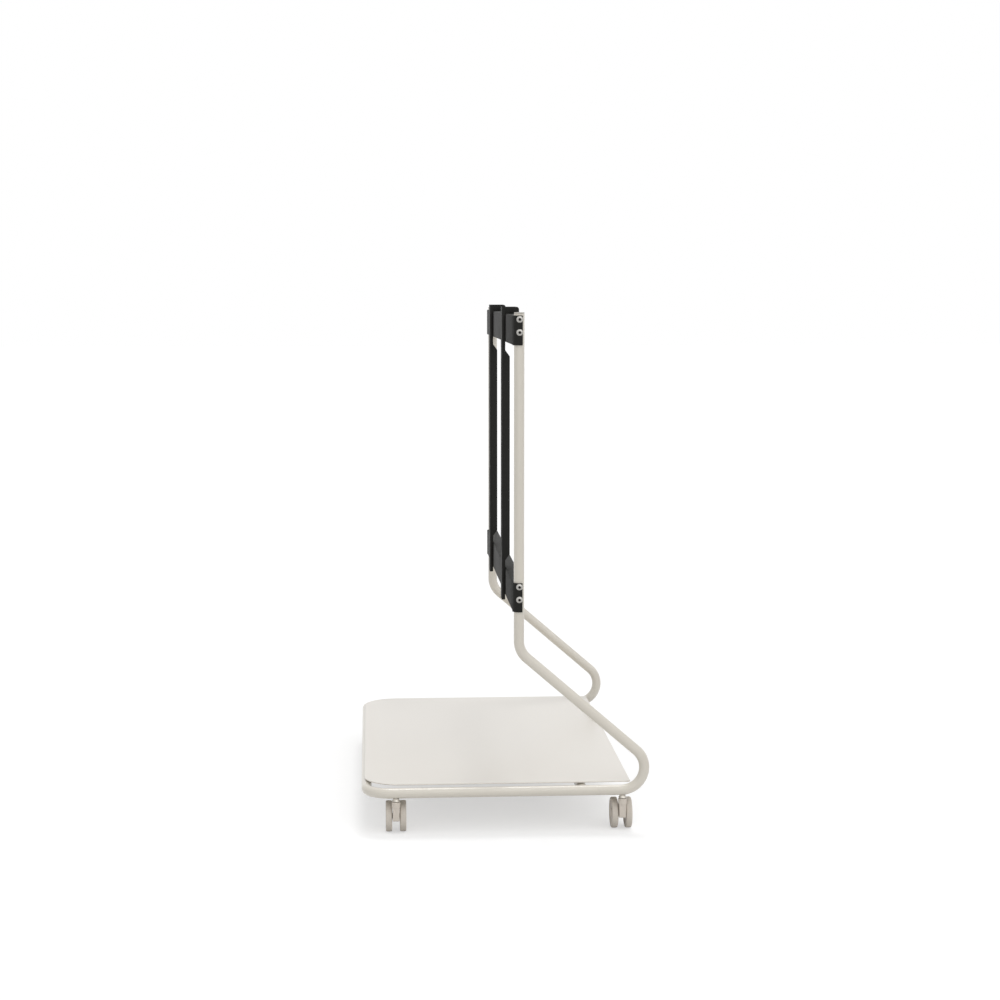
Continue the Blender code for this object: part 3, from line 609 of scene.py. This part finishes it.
def moulded_plastic(name, colour, roughness):
    """Plastic moulded with a spark-eroded grain, and scuffs that are lighter and rougher."""
    made = Nodes(name)
    cloud = made.between(made.noise(per_metre=60), NOISE_SPAN, (0, 1))
    streaked = made.stretched((90, 420, 90))
    streaks = made.noise(per_metre=1, detail=5, roughness=0.7, vector=streaked)
    scuff = made.between(streaks, (0.6, 0.72), (0, 0.5))
    tone = made.mixed(cloud, shade(colour, 0.96), shade(colour, 1.03))
    tone = made.mixed(scuff, tone, shade(colour, 1.12))
    rough = made.sum(
        made.between(cloud, (0, 1), (roughness - 0.03, roughness + 0.03)),
        made.between(scuff, (0, 1), (0, 0.2)),
    )
    skin = made.bump(made.noise(per_metre=2400, detail=2), distance=0.00003)
    return made.finish(tone, rough, skin)


def tread_rubber(name, colour):
    """Soft tread: matt, fine grained, with a worn and dusty running band."""
    made = Nodes(name)
    specks = made.noise(per_metre=300, detail=6, roughness=0.7)
    dust = made.between(specks, (0.45, 0.65), (0, 0.6))
    tone = made.mixed(dust, colour, shade(colour, 0.88))
    rough = made.between(made.noise(per_metre=500), NOISE_SPAN, (0.62, 0.8))
    skin = made.bump(made.noise(per_metre=1500, detail=4), distance=0.00005)
    return made.finish(tone, rough, skin)


def plated_steel(name, colour, roughness, painted_socket_shade_r=None):
    """Clouded plating over fine turning lines, with painted shade, nearly black, within a radius
    of the piece's axis, where a bolt's socket is.
    """
    made = Nodes(name)
    cloud = made.between(made.noise(per_metre=240, detail=4), NOISE_SPAN, (0, 1))
    tone = made.mixed(cloud, shade(colour, 0.92), shade(colour, 1.04))
    # Painted shade: within the given radius of the axis the colour goes nearly black, standing in
    # for the shade inside a bolt's socket.
    if painted_socket_shade_r:
        from_axis = made.node("ShaderNodeVectorMath", operation="LENGTH")
        made.link(made.stretched((1, 1, 0)), from_axis.inputs[0])
        edge = (0.97 * painted_socket_shade_r, 1.03 * painted_socket_shade_r)
        painted_socket_shade = made.between(from_axis.outputs["Value"], edge, (1, 0))
        tone = made.mixed(painted_socket_shade, tone, shade(colour, 0.05))
    lines = made.noise(per_metre=1, detail=2, vector=made.stretched((300, 300, 6000)))
    rough = made.sum(
        made.between(cloud, (0, 1), (roughness, roughness + 0.1)),
        made.between(lines, NOISE_SPAN, (-0.04, 0.04)),
    )
    return made.finish(tone, rough, made.bump(lines, distance=0.000008), Metallic=1.0)


def make_looks():
    """One material for each of the record's slots."""
    return {
        "frame_paint": powder_coat(
            "greige_powder_coat",
            (0.65, 0.61, 0.535),
            roughness=0.30,
            peel=0.00003,
            Specular_IOR_Level=0.6,
            Coat_Weight=0.5,
            Coat_Roughness=0.28,
        ),
        "plate_paint": powder_coat(
            "smooth_greige_powder_coat",
            (0.755, 0.72, 0.665),
            roughness=0.30,
            peel=0.000003,
            uneven=0.4,
        ),
        "cap_plastic": moulded_plastic("cap_plastic", (0.47, 0.455, 0.415), roughness=0.5),
        "caster_plastic": moulded_plastic(
            "caster_plastic",
            (0.635, 0.575, 0.505),
            roughness=0.42,
        ),
        "tread_rubber": tread_rubber("tread_rubber", (0.61, 0.56, 0.495)),
        "black_paint": powder_coat(
            "black_textured_powder_coat",
            (0.013, 0.013, 0.0115),
            roughness=0.6,
            peel=0.00015,
            grain=1100,
            Specular_IOR_Level=0.16,
        ),
        "plain_steel": plated_steel("zinc_plated_steel", (0.56, 0.53, 0.48), roughness=0.42),
        "bright_steel": plated_steel(
            "bright_nickel",
            (0.40, 0.39, 0.37),
            roughness=0.3,
            painted_socket_shade_r=BOLT_PAINTED_SOCKET_SHADE_R,
        ),
    }


def dress_base_frame(look):
    """Front rail and both side rails, bent from one tube, with the front tabs."""
    end_y = SEAM_Y - SEAM_GAP / 2
    side_rail = end_y - (FRONT_Y + BEND_R)
    path = Path((-RAIL_X, end_y, RAIL_Z), (0, -1, 0))
    path.straight(side_rail).bend(UP, math.pi / 2)
    path.straight(2 * (RAIL_X - BEND_R)).bend(UP, math.pi / 2)
    path.straight(side_rail)
    tube = swept_tube(path.stations, SEAM_EDGE_R, SEAM_EDGE_R)
    dress("base_frame", put("base_frame_tube", tube), look)
    for side_name, side in SIDES.items():
        dress_tab("base_frame", f"front_{side_name}_tab", side * TAB_X, FRONT_Y, 1, look)


def dress_tab(node, name, x, tube_y, inward, look):
    """A shelf tab with round outer corners, its screw hole and its two weld beads."""
    depth = TAB_REACH - TUBE_R + TAB_WELD_DEPTH
    half = TAB_W / 2
    outline = filleted(
        [
            (-half, 0),
            (half, 0),
            (half, depth, TAB_CORNER_R),
            (-half, depth, TAB_CORNER_R),
        ]
    )
    tab = put(name, extruded(outline, TAB_T))
    radius = SCREW_HOLE_D / 2
    hole = turned([(0, -TAB_T), (radius, -TAB_T), (radius, 2 * TAB_T), (0, 2 * TAB_T)])
    cut(tab, put("hole", hole, at(y=depth - TAB_HOLE_FROM_END)))
    root_y = tube_y + inward * (TUBE_R - TAB_WELD_DEPTH)
    tab.matrix_world = at(x, root_y, TAB_TOP - TAB_T) @ half_turn_if(inward < 0)
    dress(node, softened(tab, TAB_EDGE_R), look, extra=True)
    for where, height in (("top", TAB_TOP), ("under", TAB_TOP - TAB_T)):
        y = tube_y + inward * math.sqrt(TUBE_R**2 - (height - RAIL_Z) ** 2)
        ends = [Vector((x + way * (half - TAB_WELD_INSET), y, height)) for way in (-1, 1)]
        dress(node, put(f"{name}_weld_{where}", bead(ends)), look, extra=True)


def dress_upright(side_name, side, look):
    """Rear end of a side rail, the rear bend, the diagonal and the upright."""
    rear_turn = math.pi - DIAGONAL_ANGLE
    top_turn = math.pi / 2 - DIAGONAL_ANGLE
    run_back = REAR_BEND_Y + BEND_R * math.sin(rear_turn) - UPRIGHT_Y
    diagonal = (run_back - BEND_R * (1 - math.cos(top_turn))) / math.cos(DIAGONAL_ANGLE)
    start_y = SEAM_Y + SEAM_GAP / 2
    path = Path((side * RAIL_X, start_y, RAIL_Z), (0, 1, 0))
    path.straight(REAR_BEND_Y - start_y).bend((1, 0, 0), rear_turn)
    path.straight(diagonal).bend((1, 0, 0), -top_turn)
    path.straight(UPRIGHT_TOP - CAP_T - GAP - path.stations[-1].translation.z)
    tube = swept_tube(path.stations, SEAM_EDGE_R, TUBE_END_EDGE_R)
    dress(f"{side_name}_upright", put(f"{side_name}_upright_tube", tube), look)


def dress_crossbar(look):
    """The rear crossbar and its tabs. Its ends are coped round the side rails and welded."""
    start_x = -RAIL_X + TUBE_R / 2
    path = Path((start_x, CROSSBAR_Y, RAIL_Z), (1, 0, 0)).straight(-2 * start_x)
    bar = put("rear_crossbar_tube", swept_tube(path.stations, TUBE_END_EDGE_R, TUBE_END_EDGE_R))
    cope_r = TUBE_R + GAP
    cope = [(0, -TUBE_D), (cope_r, -TUBE_D), (cope_r, TUBE_D), (0, TUBE_D)]
    for side in SIDES.values():
        place = facing((side * RAIL_X, CROSSBAR_Y, RAIL_Z), (0, 1, 0))
        cut(bar, put("cope", turned(cope, TUBE_SIDES), place))
    dress("rear_crossbar", bar, look)
    for side_name, side in SIDES.items():
        tab_name = f"rear_{side_name}_tab"
        dress_tab("rear_crossbar", tab_name, side * TAB_X, CROSSBAR_Y, -1, look)
        for row, flank in (("front", 180), ("rear", 0)):
            weld = put(f"{side_name}_{row}_crossbar_weld", bead(crossbar_seam(side, flank)))
            dress("rear_crossbar", weld, look, extra=True)


def crossbar_seam(side, flank):
    """Line of the weld between crossbar and side rail, round one flank (0 rear, 180 front)."""
    seat, half = TUBE_R + CROSSBAR_WELD_LIFT, CROSSBAR_WELD_HALF_ARC
    turn = arc((0, 0), seat, flank - half, flank + half, CROSSBAR_WELD_STEPS)
    return [Vector((side * (RAIL_X - abs(y)), CROSSBAR_Y + y, RAIL_Z + z)) for y, z in turn]


def dress_end_cap(side_name, side, look):
    """A flat cap on an upright, with its plug inside the tube."""
    seat_z = UPRIGHT_TOP - CAP_T
    plug_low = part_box(f"{side_name}_end_cap")[0].z - seat_z
    plug = BORE_R - GAP
    profile = filleted(
        [
            (0, 0),
            (plug - CAP_PLUG_WALL, 0),
            (plug - CAP_PLUG_WALL, plug_low),
            (plug, plug_low, CAP_PLUG_EDGE_R),
            (plug, 0),
            (TUBE_R, 0, CAP_SEAT_EDGE_R),
            (TUBE_R, CAP_T, CAP_CROWN_EDGE_R),
            (0, CAP_T),
        ]
    )
    cap = put(f"{side_name}_end_cap_disc", turned(profile), at(side * RAIL_X, UPRIGHT_Y, seat_z))
    dress(f"{side_name}_end_cap", cap, look)


def dress_plate(look):
    """The shelf plate with round corners and edges, and the threaded bosses below it."""
    low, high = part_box("shelf_plate")
    bottom = high.z - PLATE_T
    corners = [
        (low.x, low.y, PLATE_FRONT_CORNER_R),
        (high.x, low.y, PLATE_FRONT_CORNER_R),
        (high.x, high.y, PLATE_REAR_CORNER_R),
        (low.x, high.y, PLATE_REAR_CORNER_R),
    ]
    outline = filleted(corners, steps=PLATE_CORNER_STEPS)
    plate = put("shelf_plate_sheet", extruded(outline, PLATE_T), at(z=bottom))
    dress("shelf_plate", softened(plate, PLATE_EDGE_R, segments=4, angle=60), look)
    boss_h = bottom - low.z
    profile = filleted(
        [
            (BOSS_BORE_R, 0),
            (BOSS_D / 2, 0, BOSS_EDGE_R),
            (BOSS_D / 2, boss_h - BOSS_FLARE_H, BOSS_EDGE_R),
            (BOSS_D / 2 + BOSS_FLARE, boss_h + BOSS_IN_PLATE),
            (BOSS_BORE_R, boss_h + BOSS_IN_PLATE),
        ]
    )
    for row in BASE_ROWS:
        for side_name in SIDES:
            centre = middle(f"{row}_{side_name}_shelf_screw")
            place = at(centre.x, centre.y, low.z)
            boss = put(f"{row}_{side_name}_boss", turned(profile, ring=True), place)
            dress("shelf_plate", boss, look, extra=True)


def dress_screw(node, way, look):
    """A low-headed screw with a hexagon socket, driven in along the given way."""
    low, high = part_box(node)
    span = abs((high - low).dot(way))
    head, shank, length = (high.y - low.y) / 2, SCREW_D / 2, span - SCREW_HEAD_H
    profile = filleted(
        [
            (0, -SCREW_HEAD_H),
            (head, -SCREW_HEAD_H, SCREW_CROWN_EDGE_R),
            (head, 0, SCREW_SEAT_EDGE_R),
            (shank, 0),
            (shank, length, SCREW_TIP_EDGE_R),
            (0, length),
        ]
    )
    screw = put(f"{node}_pan", turned(profile, SCREW_SIDES))
    socket = extruded(hexagon(SCREW_KEY), 2 * SCREW_KEY_DEPTH, centred=True)
    cut(screw, put("socket", socket, at(z=-SCREW_HEAD_H)))
    screw.matrix_world = facing(middle(node) + way * (SCREW_HEAD_H - span / 2), way)
    dress(node, screw, look)


def stem_shape():
    """A caster's stem: rim and collar under the tube, shank up into it, pin down into the yoke."""
    low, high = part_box("front_right_stem")
    seat = CUP_TOP + GAP
    rim = CUP_TOP + STEM_FOOT_H
    flare = rim + STEM_RIM_H
    top = RAIL_UNDERSIDE - GAP
    pin = STEM_D / 2
    profile = filleted(
        [
            (0, low.z),
            (pin, low.z, STEM_PIN_EDGE_R),
            (pin, seat),
            (STEM_FOOT_D / 2, seat, STEM_FOOT_EDGE_R),
            (STEM_FOOT_D / 2, rim, STEM_FOOT_EDGE_R),
            (STEM_FLARE_D / 2, rim, STEM_RIM_EDGE_R),
            (STEM_FLARE_D / 2, flare, STEM_RIM_EDGE_R),
            (STEM_COLLAR_D / 2, flare + STEM_FLARE_H, STEM_WAIST_EDGE_R),
            (STEM_COLLAR_D / 2, top, STEM_TOP_EDGE_R),
            (pin, top),
            (pin, high.z, STEM_PIN_EDGE_R),
            (0, high.z),
        ]
    )
    return turned(profile)


def yoke_body(name):
    """The yoke: a rounded web between the wheels, a round cup on top, a boss round the axle."""
    half = YOKE_W / 2
    hub_x, hub_z = -CASTER_TRAIL, WHEEL_R
    web_top = CUP_TOP - YOKE_WEB_BELOW_TOP
    outline = arc((hub_x, hub_z), YOKE_HUB_R, *YOKE_HUB_ARC, YOKE_HUB_STEPS)
    outline += filleted(
        [
            (hub_x, hub_z),
            (-half, YOKE_BOTTOM_LIFT),
            (half, YOKE_BOTTOM_LIFT, YOKE_FOOT_R),
            (half, web_top),
            (-half, web_top),
        ]
    )[1:]
    web = put(name, extruded(outline, YOKE_W, centred=True))
    web.data.transform(OUTLINE_IN_XZ)
    softened(web, YOKE_EDGE_R)
    cup_low = CUP_TOP - YOKE_CUP_H
    root = cup_low - YOKE_CONE_ROOT_H
    neck_r = WHEEL_SPACING / 2 - YOKE_NECK_SIDE_GAP
    socket_r = STEM_D / 2 + RUNNING_PLAY
    cup = filleted(
        [
            (0, root),
            (YOKE_CONE_ROOT_R, root),
            (neck_r, cup_low - YOKE_CONE_H, YOKE_NECK_EDGE_R),
            (YOKE_CUP_D / 2, cup_low, YOKE_CUP_FOOT_EDGE_R),
            (YOKE_CUP_D / 2, CUP_TOP, YOKE_CUP_TOP_EDGE_R),
            (socket_r, CUP_TOP, YOKE_CUP_MOUTH_EDGE_R),
            (socket_r, CUP_TOP - YOKE_SOCKET_DEPTH),
            (0, CUP_TOP - YOKE_SOCKET_DEPTH),
        ]
    )
    cut(web, put("cup", turned(cup)), "UNION")
    reach = WHEEL_SPACING / 2 + WHEEL_HUB_RECESS - GAP
    thrust_r = YOKE_THRUST_D / 2
    boss = filleted(
        [
            (0, -reach),
            (thrust_r, -reach, YOKE_THRUST_EDGE_R),
            (thrust_r, reach, YOKE_THRUST_EDGE_R),
            (0, reach),
        ]
    )
    cut(web, put("boss", turned(boss), facing((hub_x, 0, hub_z), (0, 1, 0))), "UNION")
    return web


def wheel_shape(width):
    """A wheel core from its inner face at height 0: hub cap, dished disc with a step, and rim."""
    rim = WHEEL_R - TREAD_T
    core_r = rim - CORE_IN_TREAD_GAP
    outer = width - WHEEL_HUB_RECESS
    dish = outer - DISH_DEPTH
    inner = WHEEL_HUB_RECESS
    ring = inner + INNER_RING_DEPTH
    profile = filleted(
        [
            (0, outer + HUB_CROWN),
            (HUB_FACE_R, outer, HUB_EDGE_R),
            (HUB_FACE_R + HUB_SLOPE, dish, HUB_FOOT_EDGE_R),
            (rim - DISH_TO_RIM, dish, DISH_EDGE_R),
            (rim - LIP_W, outer, LIP_EDGE_R),
            (core_r, outer, CORE_OUTER_EDGE_R),
            (core_r, inner, CORE_INNER_EDGE_R),
            (rim - INNER_LIP_W, inner, CORE_INNER_EDGE_R),
            (rim - INNER_LIP_W - INNER_RING_SLOPE, ring, INNER_RING_EDGE_R),
            (HUB_FACE_R + INNER_RING_SLOPE, ring, INNER_RING_EDGE_R),
            (HUB_FACE_R, inner, CORE_INNER_EDGE_R),
            (0, inner),
        ]
    )
    return turned(profile, WHEEL_SIDES)


def tread_shape(width):
    """The soft ring round a wheel core, with round shoulders and a faint crown."""
    inner_r = WHEEL_R - TREAD_T
    shoulder_r = WHEEL_R - TREAD_CROWN
    near, far = (width * share for share in TREAD_CROWN_SHARES)
    profile = filleted(
        [
            (inner_r, WHEEL_HUB_RECESS),
            (shoulder_r, 0, TREAD_SHOULDER_R),
            (WHEEL_R, near, TREAD_CROWN_R),
            (WHEEL_R, far, TREAD_CROWN_R),
            (shoulder_r, width, TREAD_SHOULDER_R),
            (inner_r, width - WHEEL_HUB_RECESS),
        ]
    )
    return turned(profile, WHEEL_SIDES, ring=True)


def dress_caster(row, side_name, side, looks):
    """One caster: its stem, its yoke, and the core and tread of each wheel."""
    name = f"{row}_{side_name}"
    stem = middle(f"{name}_stem")
    swivel = at(stem.x, stem.y) @ half_turn_if(side < 0)
    dress(f"{name}_stem", put(f"{name}_stem_pin", stem_shape(), swivel), looks["plain_steel"])
    yoke = yoke_body(f"{name}_yoke_body")
    yoke.matrix_world = swivel
    dress(f"{name}_yoke", yoke, looks["caster_plastic"])
    for end_name in "ab":
        wheel_node, tread_node = f"{name}_wheel_{end_name}", f"{name}_tread_{end_name}"
        low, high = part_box(tread_node)
        width = high.y - low.y
        centre = middle(tread_node)
        way = math.copysign(1, centre.y - stem.y)
        place = facing((centre.x, stem.y + way * WHEEL_SPACING / 2, WHEEL_R), (0, way, 0))
        wheel = put(f"{wheel_node}_core", wheel_shape(width), place)
        dress(wheel_node, wheel, looks["caster_plastic"])
        tread = put(f"{tread_node}_ring", tread_shape(width), place)
        dress(tread_node, tread, looks["tread_rubber"])


def dress_saddle(row, side_name, side, look):
    """Bent sheet round the front of an upright, with a weld nut behind each bolt."""
    node = f"{row}_{side_name}_saddle"
    low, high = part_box(node)
    back = high.y - UPRIGHT_Y
    outline = arc((0, 0), SADDLE_OUTER_R, 180, 360, SADDLE_ARC_STEPS)
    outline += [(SADDLE_OUTER_R, back), (SADDLE_INNER_R, back)]
    outline += arc((0, 0), SADDLE_INNER_R, 360, 180, SADDLE_ARC_STEPS)
    outline += [(-SADDLE_INNER_R, back), (-SADDLE_OUTER_R, back)]
    sheet = extruded(outline, high.z - low.z)
    saddle = put(f"{node}_sheet", sheet, at(side * RAIL_X, UPRIGHT_Y, low.z))
    dress(node, softened(saddle, SADDLE_EDGE_R, angle=SHEET_EDGE_ANGLE), look)
    for number in BOLT_NUMBERS:
        bolt = f"{row}_{side_name}_bolt_{number}"
        reach = RAIL_X - min(abs(corner.x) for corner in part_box(bolt))
        seat = (side * (RAIL_X - SADDLE_OUTER_R), UPRIGHT_Y, middle(bolt).z)
        prism = extruded(hexagon(WELD_NUT_ACROSS), reach - SADDLE_OUTER_R)
        nut = put(f"{bolt}_nut", prism, facing(seat, (-side, 0, 0)))
        dress(node, softened(nut, WELD_NUT_EDGE_R), look, extra=True)


def dress_bolt(node, side, look):
    """Button-head bolt: a domed head and a hexagon socket with a chamfered mouth."""
    low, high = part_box(node)
    under = SADDLE_OUTER_R + GAP
    top = under + BOLT_HEAD_H
    tip = min(abs(low.x), abs(high.x)) - RAIL_X
    head_r = BOLT_HEAD_D / 2
    profile = filleted(
        [
            (0, tip),
            (BOLT_D / 2, tip, BOLT_TIP_EDGE_R),
            (BOLT_D / 2, under),
            (head_r - BOLT_SEAT_INSET, under),
        ]
    )
    dome_r = head_r * BOLT_DOME_TO_HEAD
    for step in range(BOLT_DOME_STEPS + 1):
        radius = head_r * (1 - step / BOLT_DOME_STEPS)
        profile.append((radius, top - (dome_r - math.sqrt(dome_r**2 - radius**2))))
    bolt = put(f"{node}_head", turned(profile))
    key = extruded(hexagon(BOLT_KEY), 2 * BOLT_KEY_DEPTH, centred=True)
    cut(bolt, put("key", key, at(z=top)))
    past = BOLT_MOUTH_OVERRUN
    mouth = [(0, top - BOLT_MOUTH_R), (BOLT_MOUTH_R + past, top + past), (0, top + past)]
    cut(bolt, put("mouth", turned(mouth)))
    bolt.matrix_world = facing((side * RAIL_X, UPRIGHT_Y, middle(node).z), (side, 0, 0))
    dress(node, bolt, look)


def channel_section(low_side, high_side, face, back, sheet, fold_r):
    """Section of a folded channel as (across, depth): its face, and a cheek back on each side."""
    inner_r = fold_r - sheet
    return filleted(
        [
            (low_side, back),
            (low_side, face, fold_r),
            (high_side, face, fold_r),
            (high_side, back),
            (high_side - sheet, back),
            (high_side - sheet, face + sheet, inner_r),
            (low_side + sheet, face + sheet, inner_r),
            (low_side + sheet, back),
        ],
        steps=FOLD_STEPS,
    )


def dress_beam(node, look):
    """Cross beam of bent sheet, open to the back, with the sheet's fold radii inside and out."""
    low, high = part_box(node)
    section = channel_section(low.z, high.z, low.y, high.y, BEAM_SHEET, BEAM_FOLD_R)
    outline = [(y, z) for z, y in section]
    beam = put(f"{node}_channel", extruded(outline, high.x - low.x, centred=True))
    beam.data.transform(OUTLINE_IN_YZ)
    dress(node, softened(beam, BEAM_EDGE_R, segments=2, angle=SHEET_EDGE_ANGLE), look)


def arm_side_view(low, high, upper, lower):
    """Side view of an arm as (y, z): deep between the beams, and hooked over the upper one."""
    face, clear = low.y, upper[0].y - GAP
    spine = face + ARM_SPINE_BACK
    hook = upper[1].y + GAP
    spine_bottom = lower[1].z + ARM_LIFT_ROOM
    spine_top = upper[0].z - ARM_LIFT_ROOM
    return filleted(
        [
            (face, low.z),
            (clear, low.z, ARM_FOOT_R),
            (clear, spine_bottom, ARM_CHAMFER_R),
            (spine, spine_bottom + ARM_CHAMFER, ARM_CHAMFER_R),
            (spine, spine_top - ARM_CHAMFER, ARM_CHAMFER_R),
            (clear, spine_top, ARM_CHAMFER_R),
            (clear, upper[1].z + GAP, HOOK_SEAT_R),
            (hook, upper[1].z + GAP, HOOK_EDGE_R),
            (hook, upper[1].z - HOOK_DROP, HOOK_EDGE_R),
            (hook + HOOK_T, upper[1].z - HOOK_DROP, HOOK_EDGE_R),
            (hook + HOOK_T, high.z, ARM_HEAD_R),
            (face, high.z),
        ]
    )


def dress_arm(side_name, look):
    """Arm of bent sheet: a slotted face with cheeks that are cut to the side view."""
    node = f"{side_name}_arm"
    low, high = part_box(node)
    x = middle(node).x
    upper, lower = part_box("upper_beam"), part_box("lower_beam")
    past_hook = upper[1].y + GAP + 2 * HOOK_T
    section = channel_section(low.x, high.x, low.y, past_hook, ARM_SHEET, ARM_FOLD_R)
    channel = extruded(section, high.z - low.z + 2 * ARM_OVERRUN)
    arm = put(f"{node}_channel", channel, at(z=low.z - ARM_OVERRUN))
    side_view = arm_side_view(low, high, upper, lower)
    cheeks = put("cheeks", extruded(side_view, 2 * (high.x - low.x), centred=True))
    cheeks.data.transform(at(x) @ OUTLINE_IN_YZ)
    cut(arm, cheeks, "INTERSECT")
    slot_r = ARM_SLOT_W / 2
    straight = ARM_SLOT_L / 2 - slot_r
    outline = arc((0, straight), slot_r, 0, 180, ARM_SLOT_STEPS)
    outline += arc((0, -straight), slot_r, 180, 360, ARM_SLOT_STEPS)
    centre_z = (upper[1].z + lower[0].z) / 2
    for number in range(ARM_SLOT_COUNT):
        z = centre_z + (number - (ARM_SLOT_COUNT - 1) / 2) * ARM_SLOT_PITCH
        place = at(x, low.y + ARM_SHEET / 2, z) @ OUTLINE_IN_XZ
        cut(arm, put("slot", extruded(outline, 3 * ARM_SHEET, centred=True), place))
    dress(node, softened(arm, ARM_EDGE_R, segments=2, angle=SHEET_EDGE_ANGLE), look)


def keep_node(node, look):
    """Gives a CAD node that stays, hidden inside others, the material of its slot."""
    obj = frame["nodes"][node]
    obj.data.materials.clear()
    obj.data.materials.append(look)


def background_share(tree):
    """A socket that is 1 for rays from the camera, off a mirror or through glass, and else 0."""
    path = tree.nodes.new("ShaderNodeLightPath")
    share = path.outputs["Is Camera Ray"]
    for name in ("Is Glossy Ray", "Is Transmission Ray"):
        most = tree.nodes.new("ShaderNodeMath")
        most.operation = "MAXIMUM"
        tree.links.new(share, most.inputs[0])
        tree.links.new(path.outputs[name], most.inputs[1])
        share = most.outputs["Value"]
    return share


def make_world(ambient):
    """Even studio light from all round, which the camera and mirrors see as white."""
    world = bpy.data.worlds.new("studio")
    bpy.context.scene.world = world
    world.use_nodes = True
    tree = world.node_tree
    light = tree.nodes["Background"]
    light.inputs["Color"].default_value = WHITE
    light.inputs["Strength"].default_value = ambient
    white = tree.nodes.new("ShaderNodeBackground")
    white.inputs["Color"].default_value = WHITE
    white.inputs["Strength"].default_value = 1.0
    mix = tree.nodes.new("ShaderNodeMixShader")
    tree.links.new(background_share(tree), mix.inputs["Fac"])
    tree.links.new(light.outputs["Background"], mix.inputs[1])
    tree.links.new(white.outputs["Background"], mix.inputs[2])
    tree.links.new(mix.outputs["Shader"], tree.nodes["World Output"].inputs["Surface"])


def make_floor(seen, bounced, lift):
    """A pale floor that keeps the stand's shadow.

    Light bounces off it with one brightness. Rays from the camera see another, and the glow
    that lifts it to white.
    """
    bm = bmesh.new()
    bmesh.ops.create_grid(bm, x_segments=1, y_segments=1, size=FLOOR_SIZE / 2)
    floor = put("floor", bm)
    material = bpy.data.materials.new("pale_floor")
    material.use_nodes = True
    tree = material.node_tree
    tree.nodes.remove(tree.nodes["Principled BSDF"])
    share = background_share(tree)
    diffuse = tree.nodes.new("ShaderNodeBsdfDiffuse")
    albedo = tree.nodes.new("ShaderNodeMapRange")
    albedo.inputs["To Min"].default_value = bounced
    albedo.inputs["To Max"].default_value = seen
    tree.links.new(share, albedo.inputs["Value"])
    tree.links.new(albedo.outputs["Result"], diffuse.inputs["Color"])
    glow = tree.nodes.new("ShaderNodeEmission")
    strength = tree.nodes.new("ShaderNodeMath")
    strength.operation = "MULTIPLY"
    strength.inputs[1].default_value = lift
    tree.links.new(share, strength.inputs[0])
    tree.links.new(strength.outputs["Value"], glow.inputs["Strength"])
    both = tree.nodes.new("ShaderNodeAddShader")
    tree.links.new(diffuse.outputs["BSDF"], both.inputs[0])
    tree.links.new(glow.outputs["Emission"], both.inputs[1])
    tree.links.new(both.outputs["Shader"], tree.nodes["Material Output"].inputs["Surface"])
    floor.data.materials.append(material)


def look_along(obj, way):
    """Turns a lamp or camera, which looks down its own -Z, to look along the given way."""
    obj.rotation_mode = "QUATERNION"
    obj.rotation_quaternion = Vector(way).to_track_quat("-Z", "Y")


def add_sun(name, towards, radiance, spread):
    """A soft lamp far away. A white face turned to it gets the given brightness from it."""
    lamp = bpy.data.lights.new(name, "SUN")
    lamp.energy = radiance * math.pi
    lamp.angle = math.radians(spread)
    obj = bpy.data.objects.new(name, lamp)
    look_along(obj, towards)
    bpy.context.scene.collection.objects.link(obj)


def make_light():
    make_world(ambient=0.42)
    make_floor(seen=0.54, bounced=0.80, lift=0.52)
    add_sun("key_overhead", (0.36, -0.08, -1), radiance=0.30, spread=24)
    add_sun("high_rear_right", (-0.6, -0.5, -0.75), radiance=0.25, spread=60)
    add_sun("wide_overhead", (-0.2, 0.7, -1), radiance=0.12, spread=80)
    add_sun("from_the_camera", (-1, 0.1, -0.25), radiance=0.12, spread=60)


def make_camera():
    """The photograph's camera: to the right of the stand, looking left and slightly down."""
    camera = bpy.data.cameras.new("camera")
    camera.sensor_width = SENSOR_MM
    camera.lens = FOCAL_PIXELS / PHOTO_PIXELS * SENSOR_MM
    camera.clip_start, camera.clip_end = CAMERA_CLIP
    obj = bpy.data.objects.new("camera", camera)
    x, y = RAIL_X + CAMERA_TO_RAIL, FRONT_Y + CAMERA_BEHIND_FRONT_RAIL
    obj.location = (x, y, CAMERA_HEIGHT)
    level = Vector((-math.cos(CAMERA_YAW), math.sin(CAMERA_YAW), 0))
    look_along(obj, level * math.cos(CAMERA_PITCH) - UP * math.sin(CAMERA_PITCH))
    bpy.context.scene.collection.objects.link(obj)
    bpy.context.scene.camera = obj


def dress_stand():
    looks = make_looks()
    dress_base_frame(looks["frame_paint"])
    dress_crossbar(looks["frame_paint"])
    dress_plate(looks["plate_paint"])
    for side_name, side in SIDES.items():
        dress_upright(side_name, side, looks["frame_paint"])
        dress_end_cap(side_name, side, looks["cap_plastic"])
        keep_node(f"{side_name}_joint_sleeve", looks["plain_steel"])
        dress_screw(f"{side_name}_joint_screw", Vector((side, 0, 0)), looks["plain_steel"])
        dress_arm(side_name, looks["black_paint"])
        for row in BASE_ROWS:
            dress_screw(f"{row}_{side_name}_shelf_screw", UP, looks["plain_steel"])
            dress_caster(row, side_name, side, looks)
            keep_node(f"{row}_{side_name}_axle", looks["plain_steel"])
    for row in BEAM_ROWS:
        dress_beam(f"{row}_beam", looks["black_paint"])
        for side_name, side in SIDES.items():
            dress_saddle(row, side_name, side, looks["black_paint"])
            for number in BOLT_NUMBERS:
                dress_bolt(f"{row}_{side_name}_bolt_{number}", side, looks["bright_steel"])


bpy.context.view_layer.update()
dress_stand()
make_light()
make_camera()
bpy.context.scene.view_settings.view_transform = "Standard"
